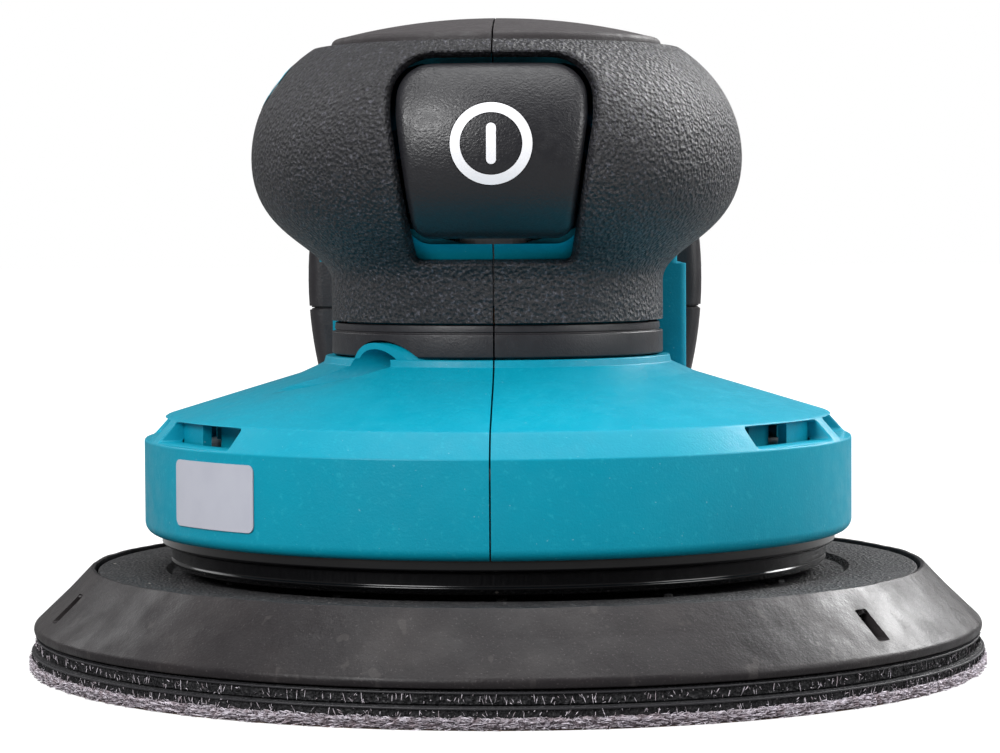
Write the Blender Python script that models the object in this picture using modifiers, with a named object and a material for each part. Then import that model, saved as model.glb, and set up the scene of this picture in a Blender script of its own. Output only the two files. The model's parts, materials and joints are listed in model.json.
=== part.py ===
"""Cordless random orbital sander with a 150 mm pad, built as separate named pieces.

Row frame: +Z up, the front with the power button at -Y, the battery at +Y. The origin is where
the motor's axis meets the plane that the sanding disc lies on. Sizes below are in millimetres,
and every mesh is scaled to metres when it is made.
"""

import math

import bmesh
import bpy
from mathutils import Matrix, Vector

MM = 0.001

# Driving dimensions
PAD_R = 75.0            # sanding disc, 150 mm across
ORBIT_R = 1.4           # the pad's axis runs this far from the motor's, along +X at rest
GAP = 0.3               # between pieces that touch on the real tool
SEAM = 0.15             # each housing half stops this far from the seam plane X = 0
SKIRT_R = 55.4
SKIRT_BOTTOM = 20.8
SKIRT_TOP = 35.2        # where the chamfer with the exhaust windows starts
SKIRT_WALL = 2.4
NECK_R = 26.0           # the grip's radius at the neck
NECK_FOOT = 48.0        # the black band starts here
BAND_TOP = 53.2
HEAD_R = 38.5
HEAD_MID = 78.5         # height of the head's widest section
FLARE_START = 60.0
HEAD_TOP = 96.6         # the top cover starts here
COVER_TOP = 100.5
HEAD_REACH = 10.0       # how much further the head reaches to the rear than to the front
GRIP_T = 2.1            # rubber over the housing
CORE_INSET = 2.4        # housing surface, under the rubber
CAVITY_INSET = 4.1      # inside of the housing wall
WEB_X = 29.8            # the block behind the neck
WEB_BACK = 56.5
ARM_BACK = 169.0
BATTERY_FRONT = 58.0
BATTERY_BACK = 171.0
BATTERY_BOTTOM = 34.0
BATTERY_TOP = 70.0
BATTERY_R = 34.6        # half width at the battery's widest
RAIL_X = 27.0
RAIL_NECK_X = 24.0
RAIL_LIP = 73.5         # underside of the battery's rail flange
RAIL_TOP = 77.5
HINGE_Y, HINGE_Z = -31.5, 90.5     # the power button's pivot, along X
ROUND = 36              # segments of a large round piece
SMALL_ROUND = 16

# Colours as linear RGB, roughness, metallic
FINISHES = {
    "teal_plastic": ((0.0, 0.30, 0.40), 0.5, 0.0),
    "black_rubber": ((0.03, 0.03, 0.034), 0.75, 0.0),
    "black_plastic": ((0.03, 0.03, 0.035), 0.45, 0.0),
    "pad_rubber": ((0.07, 0.065, 0.065), 0.6, 0.0),
    "hook_black": ((0.02, 0.02, 0.022), 0.9, 0.0),
    "loop_grey": ((0.30, 0.27, 0.27), 0.95, 0.0),
    "white_plastic": ((0.85, 0.85, 0.87), 0.5, 0.0),
    "label_silver": ((0.62, 0.62, 0.65), 0.4, 0.0),
    "steel": ((0.55, 0.55, 0.57), 0.3, 1.0),
    "aluminium": ((0.60, 0.61, 0.62), 0.4, 1.0),
    "copper": ((0.70, 0.28, 0.12), 0.35, 1.0),
    "board_green": ((0.02, 0.16, 0.07), 0.5, 0.0),
    "battery_black": ((0.035, 0.035, 0.038), 0.45, 0.0),
    "latch_red": ((0.45, 0.02, 0.02), 0.45, 0.0),
    "cell_blue": ((0.02, 0.12, 0.35), 0.4, 0.0),
}


# ---------------------------------------------------------------- scene and mesh helpers

def clear_scene():
    for obj in list(bpy.data.objects):
        bpy.data.objects.remove(obj)


def new_collection(name):
    collection = bpy.data.collections.new(name)
    bpy.context.scene.collection.children.link(collection)
    return collection


def make_material(name):
    colour, roughness, metallic = FINISHES[name]
    material = bpy.data.materials.new(name)
    material.use_nodes = True
    shader = material.node_tree.nodes["Principled BSDF"]
    shader.inputs["Base Color"].default_value = (*colour, 1.0)
    shader.inputs["Roughness"].default_value = roughness
    shader.inputs["Metallic"].default_value = metallic
    return material


def object_of(mesh_builder, name):
    """A linked object from a bmesh in millimetres, with its faces pointing out."""
    bmesh.ops.remove_doubles(mesh_builder, verts=mesh_builder.verts, dist=1e-5)
    bmesh.ops.recalc_face_normals(mesh_builder, faces=mesh_builder.faces)
    bmesh.ops.scale(mesh_builder, vec=(MM, MM, MM), verts=mesh_builder.verts)
    mesh = bpy.data.meshes.new(name)
    mesh_builder.to_mesh(mesh)
    mesh_builder.free()
    obj = bpy.data.objects.new(name, mesh)
    CUTTERS.objects.link(obj)
    return obj


def tidy(mesh, merge=2e-6):
    """Merges the points that a cut leaves almost on top of each other."""
    builder = bmesh.new()
    builder.from_mesh(mesh)
    bmesh.ops.remove_doubles(builder, verts=builder.verts, dist=merge)
    bmesh.ops.dissolve_degenerate(builder, edges=builder.edges, dist=merge)
    builder.to_mesh(mesh)
    builder.free()
    return mesh


def bake(obj):
    """Replaces the object's mesh with what its modifiers make of it."""
    bpy.context.view_layer.update()
    graph = bpy.context.evaluated_depsgraph_get()
    mesh = bpy.data.meshes.new_from_object(obj.evaluated_get(graph))
    obj.modifiers.clear()
    obj.data = tidy(mesh)
    return obj


def combine(target, tools, operation):
    for tool in tools:
        modifier = target.modifiers.new(operation.lower(), "BOOLEAN")
        modifier.operation = operation
        modifier.solver = "EXACT"
        modifier.object = tool
    bake(target)
    for tool in tools:
        bpy.data.objects.remove(tool)
    return target


def cut(target, *tools):
    return combine(target, tools, "DIFFERENCE")


def join(target, *tools):
    return combine(target, tools, "UNION")


def keep_inside(target, *tools):
    return combine(target, tools, "INTERSECT")


def copy_of(obj, name):
    twin = bpy.data.objects.new(name, obj.data.copy())
    CUTTERS.objects.link(twin)
    return twin


def finish(obj, name, material, smooth_below=35.0):
    """Moves a finished piece to the parts, and gives it its name, material and shading."""
    CUTTERS.objects.unlink(obj)
    PARTS.objects.link(obj)
    obj.name = name
    obj.data.name = name
    obj.data.materials.clear()
    obj.data.materials.append(MATERIALS[material])
    obj.data.shade_smooth()
    obj.data.set_sharp_from_angle(angle=math.radians(smooth_below))
    return obj


# ---------------------------------------------------------------- shape helpers

def box(low, high):
    builder = bmesh.new()
    size = Vector(high) - Vector(low)
    centre = (Vector(high) + Vector(low)) / 2
    place = Matrix.Translation(centre) @ Matrix.Diagonal((*size, 1.0))
    bmesh.ops.create_cube(builder, size=1.0, matrix=place)
    return object_of(builder, "box")


def rod(start, end, radius, segments=SMALL_ROUND, end_radius=None):
    """A cylinder, or a cone where end_radius is given, between two points."""
    builder = bmesh.new()
    start, end = Vector(start), Vector(end)
    along = end - start
    turn = Vector((0, 0, 1)).rotation_difference(along).to_matrix().to_4x4()
    bmesh.ops.create_cone(
        builder,
        cap_ends=True,
        segments=segments,
        radius1=radius,
        radius2=radius if end_radius is None else end_radius,
        depth=along.length,
        matrix=Matrix.Translation((start + end) / 2) @ turn,
    )
    return object_of(builder, "rod")


def turned(profile, segments=ROUND, centre=(0.0, 0.0)):
    """A solid of revolution about a vertical axis. The profile is a list of (radius, height) that
    runs down the outer side, and closes through the axis or, for a ring, up its inner side."""
    on_axis = profile[0][0] == 0.0 and profile[-1][0] == 0.0
    mesh = bpy.data.meshes.new("profile")
    half_step = math.pi / segments
    points = [
        (radius * math.cos(half_step) * MM, radius * math.sin(half_step) * MM, height * MM)
        for radius, height in profile
    ]
    edges = [(i, i + 1) for i in range(len(points) - 1)]
    if not on_axis:
        edges.append((len(points) - 1, 0))
    mesh.from_pydata(points, edges, [])
    obj = bpy.data.objects.new("turned", mesh)
    CUTTERS.objects.link(obj)
    screw = obj.modifiers.new("screw", "SCREW")
    screw.steps = segments
    screw.render_steps = segments
    screw.use_merge_vertices = True
    screw.merge_threshold = 1e-6
    bake(obj)
    builder = bmesh.new()
    builder.from_mesh(obj.data)
    bmesh.ops.recalc_face_normals(builder, faces=builder.faces)
    bmesh.ops.translate(builder, vec=(centre[0] * MM, centre[1] * MM, 0.0), verts=builder.verts)
    builder.to_mesh(obj.data)
    builder.free()
    return obj


def ring(inner, outer, low, high, segments=ROUND, centre=(0.0, 0.0)):
    profile = [(outer, high), (outer, low), (inner, low), (inner, high)]
    return turned(profile, segments, centre)


def place_on(axis, u, v, w):
    """The point with outline coordinates u, v and depth w along the axis."""
    return {"X": (w, u, v), "Y": (u, w, v), "Z": (u, v, w)}[axis]


def prism(outline, axis, low, high):
    """An outline extruded along an axis, from low to high."""
    builder = bmesh.new()
    corners = [builder.verts.new(place_on(axis, u, v, low)) for u, v in outline]
    face = builder.faces.new(corners)
    made = bmesh.ops.extrude_face_region(builder, geom=[face])
    moved = [item for item in made["geom"] if isinstance(item, bmesh.types.BMVert)]
    bmesh.ops.translate(builder, vec=place_on(axis, 0.0, 0.0, high - low), verts=moved)
    return object_of(builder, "prism")


def loft(rings):
    """A closed solid through rings of equally many points, with flat ends."""
    builder = bmesh.new()
    rows = [[builder.verts.new(point) for point in points] for points in rings]
    for lower, upper in zip(rows, rows[1:]):
        for i, corner in enumerate(lower):
            j = (i + 1) % len(lower)
            builder.faces.new((corner, lower[j], upper[j], upper[i]))
    builder.faces.new(rows[0])
    builder.faces.new(rows[-1])
    return object_of(builder, "loft")


def rounded(corners, steps=5):
    """A closed outline from (u, v, radius) corners, with an arc at each."""
    outline = []
    count = len(corners)
    for i, (u, v, radius) in enumerate(corners):
        here = Vector((u, v))
        before = (Vector(corners[i - 1][:2]) - here).normalized()
        after = (Vector(corners[(i + 1) % count][:2]) - here).normalized()
        half = before.angle(after) / 2
        centre = here + (before + after).normalized() * (radius / math.sin(half))
        start = here + before * (radius / math.tan(half)) - centre
        end = here + after * (radius / math.tan(half)) - centre
        sweep = start.angle_signed(end)
        for k in range(steps + 1):
            turn = Matrix.Rotation(-sweep * k / steps, 2)
            outline.append(tuple(centre + turn @ start))
    return outline


def rounded_box_outline(half_u, low_v, high_v, radius, steps=3):
    corners = [(-half_u, low_v), (half_u, low_v), (half_u, high_v), (-half_u, high_v)]
    return rounded([(u, v, radius) for u, v in corners], steps)


def arc_slab(inner, outer, low, high, start_deg, end_deg, steps=2):
    """A stretch of a ring. Angles run from the front, -Y, towards the left, -X."""
    angles = [math.radians(start_deg + (end_deg - start_deg) * k / steps) for k in range(steps + 1)]
    outer_arc = [(-outer * math.sin(a), -outer * math.cos(a)) for a in angles]
    inner_arc = [(-inner * math.sin(a), -inner * math.cos(a)) for a in reversed(angles)]
    return prism(outer_arc + inner_arc, "Z", low, high)


# ---------------------------------------------------------------- the head's form

HEAD_LEVELS = [53.5, 60.0, 62.6, 66.2, 71.0, 78.5, 85.5, 90.2, 93.6, HEAD_TOP]
CAVITY_LEVELS = [62.0, 68.5, 78.5, 88.5, HEAD_TOP]
HEAD_SEGMENTS = 28
HEAD_DOME = 19.5        # the upper half's height if it closed at the top
HEAD_SQUARE = 3.2       # exponent of that half's superellipse


def head_half_width(z):
    if z <= FLARE_START:
        return NECK_R
    if z <= HEAD_MID:
        share = (z - FLARE_START) / (HEAD_MID - FLARE_START)
        return NECK_R + (HEAD_R - NECK_R) * math.sin(math.pi / 2 * share)
    share = ((z - HEAD_MID) / HEAD_DOME) ** HEAD_SQUARE
    return HEAD_R * (1 - share) ** (1 / HEAD_SQUARE)


def head_ring(z, inset, segments=HEAD_SEGMENTS):
    """The head's outline at a height: round in front, and a longer superellipse behind."""
    across = head_half_width(z) - inset
    share = min(1.0, max(0.0, (z - FLARE_START) / 14.0))
    behind = across + HEAD_REACH * share * share * (3 - 2 * share)
    lift = (z - HEAD_MID) * (1 - inset / (HEAD_TOP - HEAD_MID)) + HEAD_MID if z > HEAD_MID else z
    points = []
    for i in range(segments):
        angle = 2 * math.pi * (i + 0.5) / segments
        c, s = math.cos(angle), math.sin(angle)
        if s < 0:
            points.append((across * c, across * s, lift))
        else:
            points.append((math.copysign(across * abs(c) ** 0.9, c), behind * s ** 0.9, lift))
    return points


def head_solid(inset, start, levels=HEAD_LEVELS):
    """The head and neck, inset all round, from a height upwards."""
    heights = [start] + [z for z in levels if z > start + 0.5]
    return loft([head_ring(z, inset) for z in heights])


def button_outline(grow):
    """The power button's outline, seen from the front, as (x, z)."""
    return rounded([
        (-11.7 - grow, 66.1 - grow, 3.2),
        (11.7 + grow, 66.1 - grow, 3.2),
        (14.1 + grow, 84.0, 30.0),
        (13.8 + grow, 91.9 + grow, 4.2),
        (-13.8 - grow, 91.9 + grow, 4.2),
        (-14.1 - grow, 84.0, 30.0),
    ])


def recess_outline():
    """The opening in the rubber round the power button, as (x, z)."""
    return rounded([
        (-11.6, 63.2, 1.0),
        (11.6, 63.2, 1.0),
        (15.0, 84.0, 40.0),
        (14.7, 93.1, 5.0),
        (-14.7, 93.1, 5.0),
        (-15.0, 84.0, 40.0),
    ])


# ---------------------------------------------------------------- housing

WINDOW_CENTRES = (56.3, 83.8, 111.3, 138.8)
WINDOW_HALF = 11.7
SCREWS = {              # name: (y, z, x of the head's seat)
    "housing_screw_front": (-19.1, 46.3, -9.0),
    "housing_screw_web": (49.0, 47.0, -22.0),
    "housing_screw_arm": (128.0, 83.8, -22.0),
}
SCREW_POCKET_R = 2.8
BOSS_R = 3.8
FRONT_POCKET_R = 3.8    # the pocket at the neck is wider, and its boss ends in an arched rim
FRONT_BOSS_R = 4.8
FRONT_RIM_R = NECK_R + 0.4
BUTTON_ROOM = 0.8       # round the power button, which swings down a little as it is pressed


def arm_ring(y, half_x, low, high, radius):
    return [(x, y, z) for x, z in rounded_box_outline(half_x, low, high, radius)]


def arm_solid(grow):
    """The hood over the battery, from inside the head to the rear."""
    stations = [(12.0, 31.0, 93.0), (45.0, 32.0, 92.4), (100.0, 32.0, 90.6), (160.0, 31.6, 88.0)]
    rings = [arm_ring(y, x + grow, 70.4 - grow, top + grow, 5.0) for y, x, top in stations]
    rings.append(arm_ring(ARM_BACK + grow, 29.0 + grow, 72.4 - grow, 84.6 + grow, 4.0))
    return loft(rings)


def web_solid(grow):
    """The block behind the neck that stands on the skirt and carries the hood."""
    x, back = WEB_X + grow, WEB_BACK + grow
    outline = rounded([(-x, 6.0, 1.0), (x, 6.0, 1.0), (x, back, 5.0), (-x, back, 5.0)], 3)
    return prism(outline, "Z", 40.0 - grow, 74.0)


def skirt_solid():
    return turned([
        (0.0, NECK_FOOT), (25.9, NECK_FOOT), (26.1, 46.8), (31.0, 45.2), (39.3, 42.7), (51.8, 38.9),
        (SKIRT_R, SKIRT_TOP), (SKIRT_R, 22.6), (54.4, SKIRT_BOTTOM), (0.0, SKIRT_BOTTOM),
    ])


def skirt_cavity():
    inner = SKIRT_R - SKIRT_WALL
    return turned([
        (0.0, 52.0), (21.7, 52.0), (21.7, 46.0), (24.8, 42.9), (50.4, 36.6),
        (inner, 34.0), (inner, 18.0), (0.0, 18.0),
    ])


def hood_cavity():
    """The hollow of the hood, above the battery's rails."""
    rings = [
        arm_ring(10.0, 28.0, 79.8, 90.6, 3.0),
        arm_ring(100.0, 29.0, 79.8, 88.2, 3.0),
        arm_ring(141.0, 28.0, 79.8, 86.4, 3.0),
    ]
    return loft(rings)


def rail_channel():
    """The T-slot that the battery's rails run in, open to the rear."""
    wide, narrow = RAIL_X + GAP, RAIL_NECK_X + GAP
    lip = RAIL_LIP - GAP
    top = RAIL_TOP + GAP
    outline = [(-narrow, 60.0), (narrow, 60.0), (narrow, lip), (wide, lip),
               (wide, top), (-wide, top), (-wide, lip), (-narrow, lip)]
    return prism(outline, "Y", WEB_BACK + 0.4, 180.0)


def screw_bosses(shell):
    for y, z, seat in SCREWS.values():
        if y < 0:
            near_end = keep_inside(
                rod((-40.0, y, z), (1.0, y, z), FRONT_BOSS_R, 20), rod((0, 0, 36), (0, 0, 60), FRONT_RIM_R, ROUND)
            )
            far_end = keep_inside(
                rod((0.0, y, z), (12.0, y, z), BOSS_R, 16), rod((0, 0, 30), (0, 0, 60), 23.2, ROUND)
            )
        else:
            near_end = rod((seat - 2.0, y, z), (1.0, y, z), BOSS_R, 16)
            far_end = rod((0.0, y, z), (-seat + 1.0, y, z), BOSS_R, 16)
        shell = join(shell, near_end, far_end)
    return shell


def screw_holes():
    tools = []
    for y, z, seat in SCREWS.values():
        pocket = FRONT_POCKET_R if y < 0 else SCREW_POCKET_R
        tools.append(rod((-60.0, y, z), (seat, y, z), pocket, 20))
        tools.append(rod((seat - 1.0, y, z), (-seat - 1.0, y, z), 1.75, 12))
    return tools


def make_housing():
    shell = skirt_solid()
    shell = join(shell, head_solid(CORE_INSET, 44.5), web_solid(0.0), arm_solid(0.0))
    web_hollow = prism(rounded_box_outline(WEB_X - 2.2, 20.0, WEB_BACK - 2.2, 3.0), "Z", 46.5, 86.0)
    head_hollow = head_solid(CAVITY_INSET, 50.0, CAVITY_LEVELS)
    shell = cut(shell, skirt_cavity(), head_hollow, web_hollow, hood_cavity())
    bridge = box((-36.0, -13.0, 81.0), (36.0, 13.0, 84.0))
    shell = join(shell, keep_inside(bridge, head_solid(CORE_INSET + 0.7, 55.0)))
    shell = cut(shell, rod((0, 0, 75.0), (0, 0, 88.5), 10.5))
    shell = screw_bosses(shell)
    shell = cut(shell, *screw_holes())
    shell = cut(shell, prism(button_outline(BUTTON_ROOM), "Y", -60.0, -24.0), rail_channel())
    latch_groove = box((-6.0, 146.0, 76.0), (6.0, 180.0, 80.4))
    shell = cut(shell, latch_groove)
    windows = []
    for centre in WINDOW_CENTRES:
        for side in (1, -1):
            middle = side * centre
            windows.append(
                arc_slab(46.0, 60.0, 35.5, 38.5, middle - WINDOW_HALF, middle + WINDOW_HALF)
            )
    shell = cut(shell, *windows)
    speed_hole = prism(rounded(speed_corners(0.4)), "Z", 82.0, 96.0)
    shell = cut(shell, speed_hole)
    right = copy_of(shell, "right")
    left = cut(shell, box((-SEAM, -90.0, 0.0), (90.0, 190.0, 120.0)))
    right = cut(right, box((-90.0, -90.0, 0.0), (SEAM, 190.0, 120.0)))
    finish(left, "housing_left", "teal_plastic")
    finish(right, "housing_right", "teal_plastic")


def make_screws():
    for name, (y, z, seat) in SCREWS.items():
        screw = rod((seat - 0.8, y, z), (-seat - 1.6, y, z), 1.5, 8)
        screw = join(screw, rod((seat - 1.9, y, z), (seat - 0.1, y, z), 2.4, 12))
        socket = rod((seat - 2.2, y, z), (seat - 0.9, y, z), 1.1, 6)
        finish(cut(screw, socket), name, "steel")


# ---------------------------------------------------------------- rubber, bands, covers

BADGE_Y, BADGE_Z, BADGE_LONG, BADGE_TALL = 3.0, 89.8, 12.0, 4.8


def badge_outline(grow):
    count = 20
    return [
        (BADGE_Y + (BADGE_LONG + grow) * math.cos(2 * math.pi * i / count),
         BADGE_Z + (BADGE_TALL + grow) * math.sin(2 * math.pi * i / count))
        for i in range(count)
    ]


def halves(whole, name, material):
    right = copy_of(whole, "right")
    left = cut(whole, box((-SEAM, -90.0, 0.0), (90.0, 190.0, 120.0)))
    right = cut(right, box((-90.0, -90.0, 0.0), (SEAM, 190.0, 120.0)))
    finish(left, name + "_left", material)
    finish(right, name + "_right", material)


def cover_ring(scale, z):
    base = head_ring(HEAD_TOP, 0.0)
    middle = (min(p[1] for p in base) + max(p[1] for p in base)) / 2
    return [(p[0] * scale, middle + (p[1] - middle) * scale, z) for p in base]


def make_grips():
    grip = head_solid(0.0, HEAD_LEVELS[0])
    grip = cut(grip, head_solid(GRIP_T, 50.0))
    grip = cut(grip, loft([cover_ring(0.985, 90.0), cover_ring(0.985, 99.0)]))
    grip = cut(grip, web_solid(GAP), arm_solid(GAP))
    grip = cut(grip, prism(recess_outline(), "Y", -60.0, -20.0))
    badge_pocket = keep_inside(prism(badge_outline(0.2), "X", -60.0, -10.0), head_solid(-3.0, 55.0))
    badge_pocket = cut(badge_pocket, head_solid(1.3, 50.0))
    grip = cut(grip, badge_pocket)
    halves(grip, "grip", "black_rubber")

    badge = keep_inside(prism(badge_outline(0.0), "X", -60.0, -10.0), head_solid(0.0, 55.0))
    finish(cut(badge, head_solid(1.1, 50.0)), "side_badge", "black_plastic")


def make_top_cover():
    rings = [
        cover_ring(0.97, HEAD_TOP - 2.0),
        cover_ring(0.97, HEAD_TOP + 0.3),
        cover_ring(0.93, HEAD_TOP + 1.4),
        cover_ring(0.72, COVER_TOP - 1.4),
        cover_ring(0.42, COVER_TOP - 0.4),
        cover_ring(0.12, COVER_TOP),
    ]
    halves(loft(rings), "top_cover", "black_plastic")


def make_neck_band():
    band = turned([
        (25.3, BAND_TOP), (25.3, 51.9), (25.9, 51.8), (25.9, NECK_FOOT + GAP),
        (23.95, NECK_FOOT + GAP), (23.95, BAND_TOP),
    ])
    y, z, _ = SCREWS["housing_screw_front"]
    band = cut(band, web_solid(GAP), rod((-60.0, y, z), (-5.0, y, z), FRONT_BOSS_R + 0.4, 20))
    halves(band, "neck_band", "black_plastic")


def make_label():
    label = arc_slab(SKIRT_R + 0.12, SKIRT_R + 0.3, 23.9, 33.7, 38.3, 58.3, 8)
    finish(label, "skirt_label", "label_silver")


def make_baffle():
    profile = [(52.6, 21.9), (52.6, 20.0), (51.7, 19.0), (49.8, 19.4), (49.8, 21.9)]
    finish(turned(profile), "baffle_ring", "black_rubber")


# ---------------------------------------------------------------- motor and drive

STATOR_R = 21.3
STATOR_LOW, STATOR_HIGH = 56.0, 74.0
TEETH = 6
FAN_BLADES = 7


def make_stator():
    core = ring(17.6, STATOR_R, STATOR_LOW, STATOR_HIGH, 24)
    teeth = []
    for i in range(TEETH):
        tooth = prism([(12.8, -2.2), (18.4, -2.2), (18.4, 2.2), (12.8, 2.2)], "Z",
                      STATOR_LOW + 0.01, STATOR_HIGH - 0.01)
        tooth.data.transform(Matrix.Rotation(2 * math.pi * i / TEETH, 4, "Z"))
        teeth.append(tooth)
    finish(join(core, *teeth), "stator_core", "steel")
    finish(ring(13.2, 19.6, STATOR_HIGH + GAP, 77.2, 20), "stator_winding_top", "copper")
    finish(ring(13.2, 19.6, 53.2, STATOR_LOW - GAP, 20), "stator_winding_bottom", "copper")


def make_rotor():
    shaft = turned([(0.0, 86.5), (3.0, 86.5), (3.0, 45.0), (4.0, 44.4), (4.0, 26.8), (0.0, 26.8)], 16)
    finish(shaft, "motor_shaft", "steel")
    finish(ring(3.1, 12.2, 55.6, 74.4, 24), "rotor_magnets", "steel")


def make_cooling_fan():
    fan = turned([
        (14.3, 50.2), (14.3, 49.2), (6.2, 49.2), (6.2, 44.8), (4.2, 44.8), (4.2, 45.4),
        (3.15, 45.6), (3.15, 50.2),
    ], 20)
    blades = []
    for i in range(FAN_BLADES):
        blade = box((5.8, -0.6, 44.9), (14.2, 0.6, 49.6))
        blade.data.transform(Matrix.Rotation(2 * math.pi * i / FAN_BLADES, 4, "Z"))
        blades.append(blade)
    finish(join(fan, *blades), "cooling_fan", "black_plastic")


def make_counterweight():
    body = turned([(0.0, 30.6), (15.0, 30.6), (15.0, 18.7), (0.0, 18.7)], 24)
    lobe_outline = [(30.0 * math.cos(a), 30.0 * math.sin(a))
                    for a in (math.radians(130 + 10 * k) for k in range(11))]
    lobe_outline += [(-9.0, -11.0), (-9.0, 11.0)]
    lobe = prism(lobe_outline, "Z", 22.0, 28.0)
    body = join(body, lobe)
    pocket = rod((ORBIT_R, 0, 10.0), (ORBIT_R, 0, 26.2), 11.1, 20)
    body = cut(body, pocket, rod((0, 0, 25.0), (0, 0, 40.0), 4.1, 16))
    finish(body, "counterweight", "steel")


def make_bearing(name, bore, race_in, race_out, outside, low, high, centre=(0.0, 0.0)):
    """An outer ring, and an inner ring that carries the ball row's shield."""
    shield_low, shield_high = low + (high - low) * 0.3, high - (high - low) * 0.3
    shield = race_out - 0.3
    inner = turned([
        (race_in, high), (race_in, shield_high), (shield, shield_high), (shield, shield_low),
        (race_in, shield_low), (race_in, low), (bore, low), (bore, high),
    ], 14, centre)
    finish(inner, name + "_inner", "steel")
    finish(ring(race_out, outside, low, high, 14, centre), name + "_outer", "steel")


def make_bearings():
    make_bearing("lower_bearing", 4.1, 6.4, 9.0, 11.0, 34.6, 42.6)
    make_bearing("upper_bearing", 3.1, 4.6, 6.2, 8.0, 79.6, 84.6)
    make_bearing("pad_bearing", 5.1, 7.0, 9.2, 10.95, 18.9, 25.9, (ORBIT_R, 0.0))
    box_profile = [
        (13.4, 44.0), (13.4, 33.8), (52.6, 33.8), (52.6, 32.2), (13.4, 32.2), (13.4, 31.2),
        (6.5, 31.2), (6.5, 34.2), (11.15, 34.2), (11.15, 44.0),
    ]
    finish(turned(box_profile, 24), "bearing_box", "aluminium")
    holder = [(0.0, 88.0), (10.2, 88.0), (10.2, 79.2), (8.15, 79.2), (8.15, 87.0), (0.0, 87.0)]
    finish(turned(holder, 16), "upper_bearing_holder", "black_rubber")


# ---------------------------------------------------------------- pad

PAD_CENTRE = (ORBIT_R, 0.0)
SLOT_ANGLES = (70.7, -49.3, -169.3)      # from the front towards the left
WELL_R = 3.9            # round each pad screw's head, through the cushion
PAD_SCREWS = 3


def pad_screw_places():
    for i in range(PAD_SCREWS):
        angle = math.radians(27 + 120 * i)
        yield i + 1, ORBIT_R + 13.5 * math.cos(angle), 13.5 * math.sin(angle)


def make_pad():
    disc = turned([(0.0, 1.5), (PAD_R, 1.5), (PAD_R, 0.0), (0.0, 0.0)], ROUND, PAD_CENTRE)
    finish(disc, "sanding_disc", "loop_grey")
    sheet = turned([(0.0, 3.25), (74.4, 3.25), (74.4, 1.65), (0.0, 1.65)], ROUND, PAD_CENTRE)
    finish(sheet, "interface_disc", "hook_black")
    facing = turned([(0.0, 5.3), (73.7, 5.3), (73.7, 3.4), (0.0, 3.4)], ROUND, PAD_CENTRE)
    finish(facing, "hook_facing", "hook_black")

    cushion = turned([
        (0.0, 10.6), (64.5, 10.6), (64.5, 15.6), (64.95, 15.6), (74.0, 6.5), (74.0, 5.6), (0.0, 5.6),
    ], ROUND, PAD_CENTRE)
    wells = [rod((x, y, 4.0), (x, y, 12.0), WELL_R, 16) for _, x, y in pad_screw_places()]
    slots = []
    for angle in SLOT_ANGLES:
        slot = box((-1.2, -72.5, 8.4), (1.2, -65.8, 12.9))
        place = Matrix.Translation((ORBIT_R * MM, 0, 0)) @ Matrix.Rotation(math.radians(-angle), 4, "Z")
        slot.data.transform(place)
        slots.append(slot)
    finish(cut(cushion, *slots, *wells), "pad_cushion", "pad_rubber")

    plate = turned([
        (0.0, 15.0), (62.6, 14.6), (64.2, 15.2), (64.2, 10.85), (0.0, 10.85),
    ], ROUND, PAD_CENTRE)
    screw_bores = [rod((x, y, 5.0), (x, y, 17.3), 2.1, 12) for _, x, y in pad_screw_places()]
    finish(cut(plate, *screw_bores), "backing_plate", "black_plastic")

    hub = turned([(0.0, 26.0), (4.95, 26.0), (4.95, 18.3), (6.8, 18.3), (6.8, 17.9), (19.0, 17.9),
                  (19.0, 15.4), (0.0, 15.4)], 18, PAD_CENTRE)
    screw_bores = [rod((x, y, 5.0), (x, y, 17.3), 2.1, 12) for _, x, y in pad_screw_places()]
    finish(cut(hub, *screw_bores), "pad_hub", "aluminium")
    for number, x, y in pad_screw_places():
        screw = join(rod((x, y, 9.4), (x, y, 17.0), 1.9, 8), rod((x, y, 8.0), (x, y, 10.6), 3.4, 12))
        screw = cut(screw, rod((x, y, 7.0), (x, y, 9.6), 1.5, 6))
        finish(screw, f"pad_screw_{number}", "steel")


# ---------------------------------------------------------------- controls and electronics

SPEED_Y = 64.0
PLUNGER_Z = 73.0


def speed_corners(grow):
    x, y = 6.5 + grow, 4.5 + grow
    return [(-x, SPEED_Y - y, 2.0), (x, SPEED_Y - y, 2.0), (x, SPEED_Y + y, 2.0), (-x, SPEED_Y + y, 2.0)]


def mark_outline(radius, count=24):
    return [(radius * math.cos(2 * math.pi * i / count), 79.9 + radius * math.sin(2 * math.pi * i / count))
            for i in range(count)]


def bar_outline(half_width, half_length):
    top, bottom = 79.9 + half_length, 79.9 - half_length
    corners = [(-half_width, bottom), (half_width, bottom), (half_width, top), (-half_width, top)]
    return rounded([(x, z, half_width * 0.98) for x, z in corners], 4)


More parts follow.
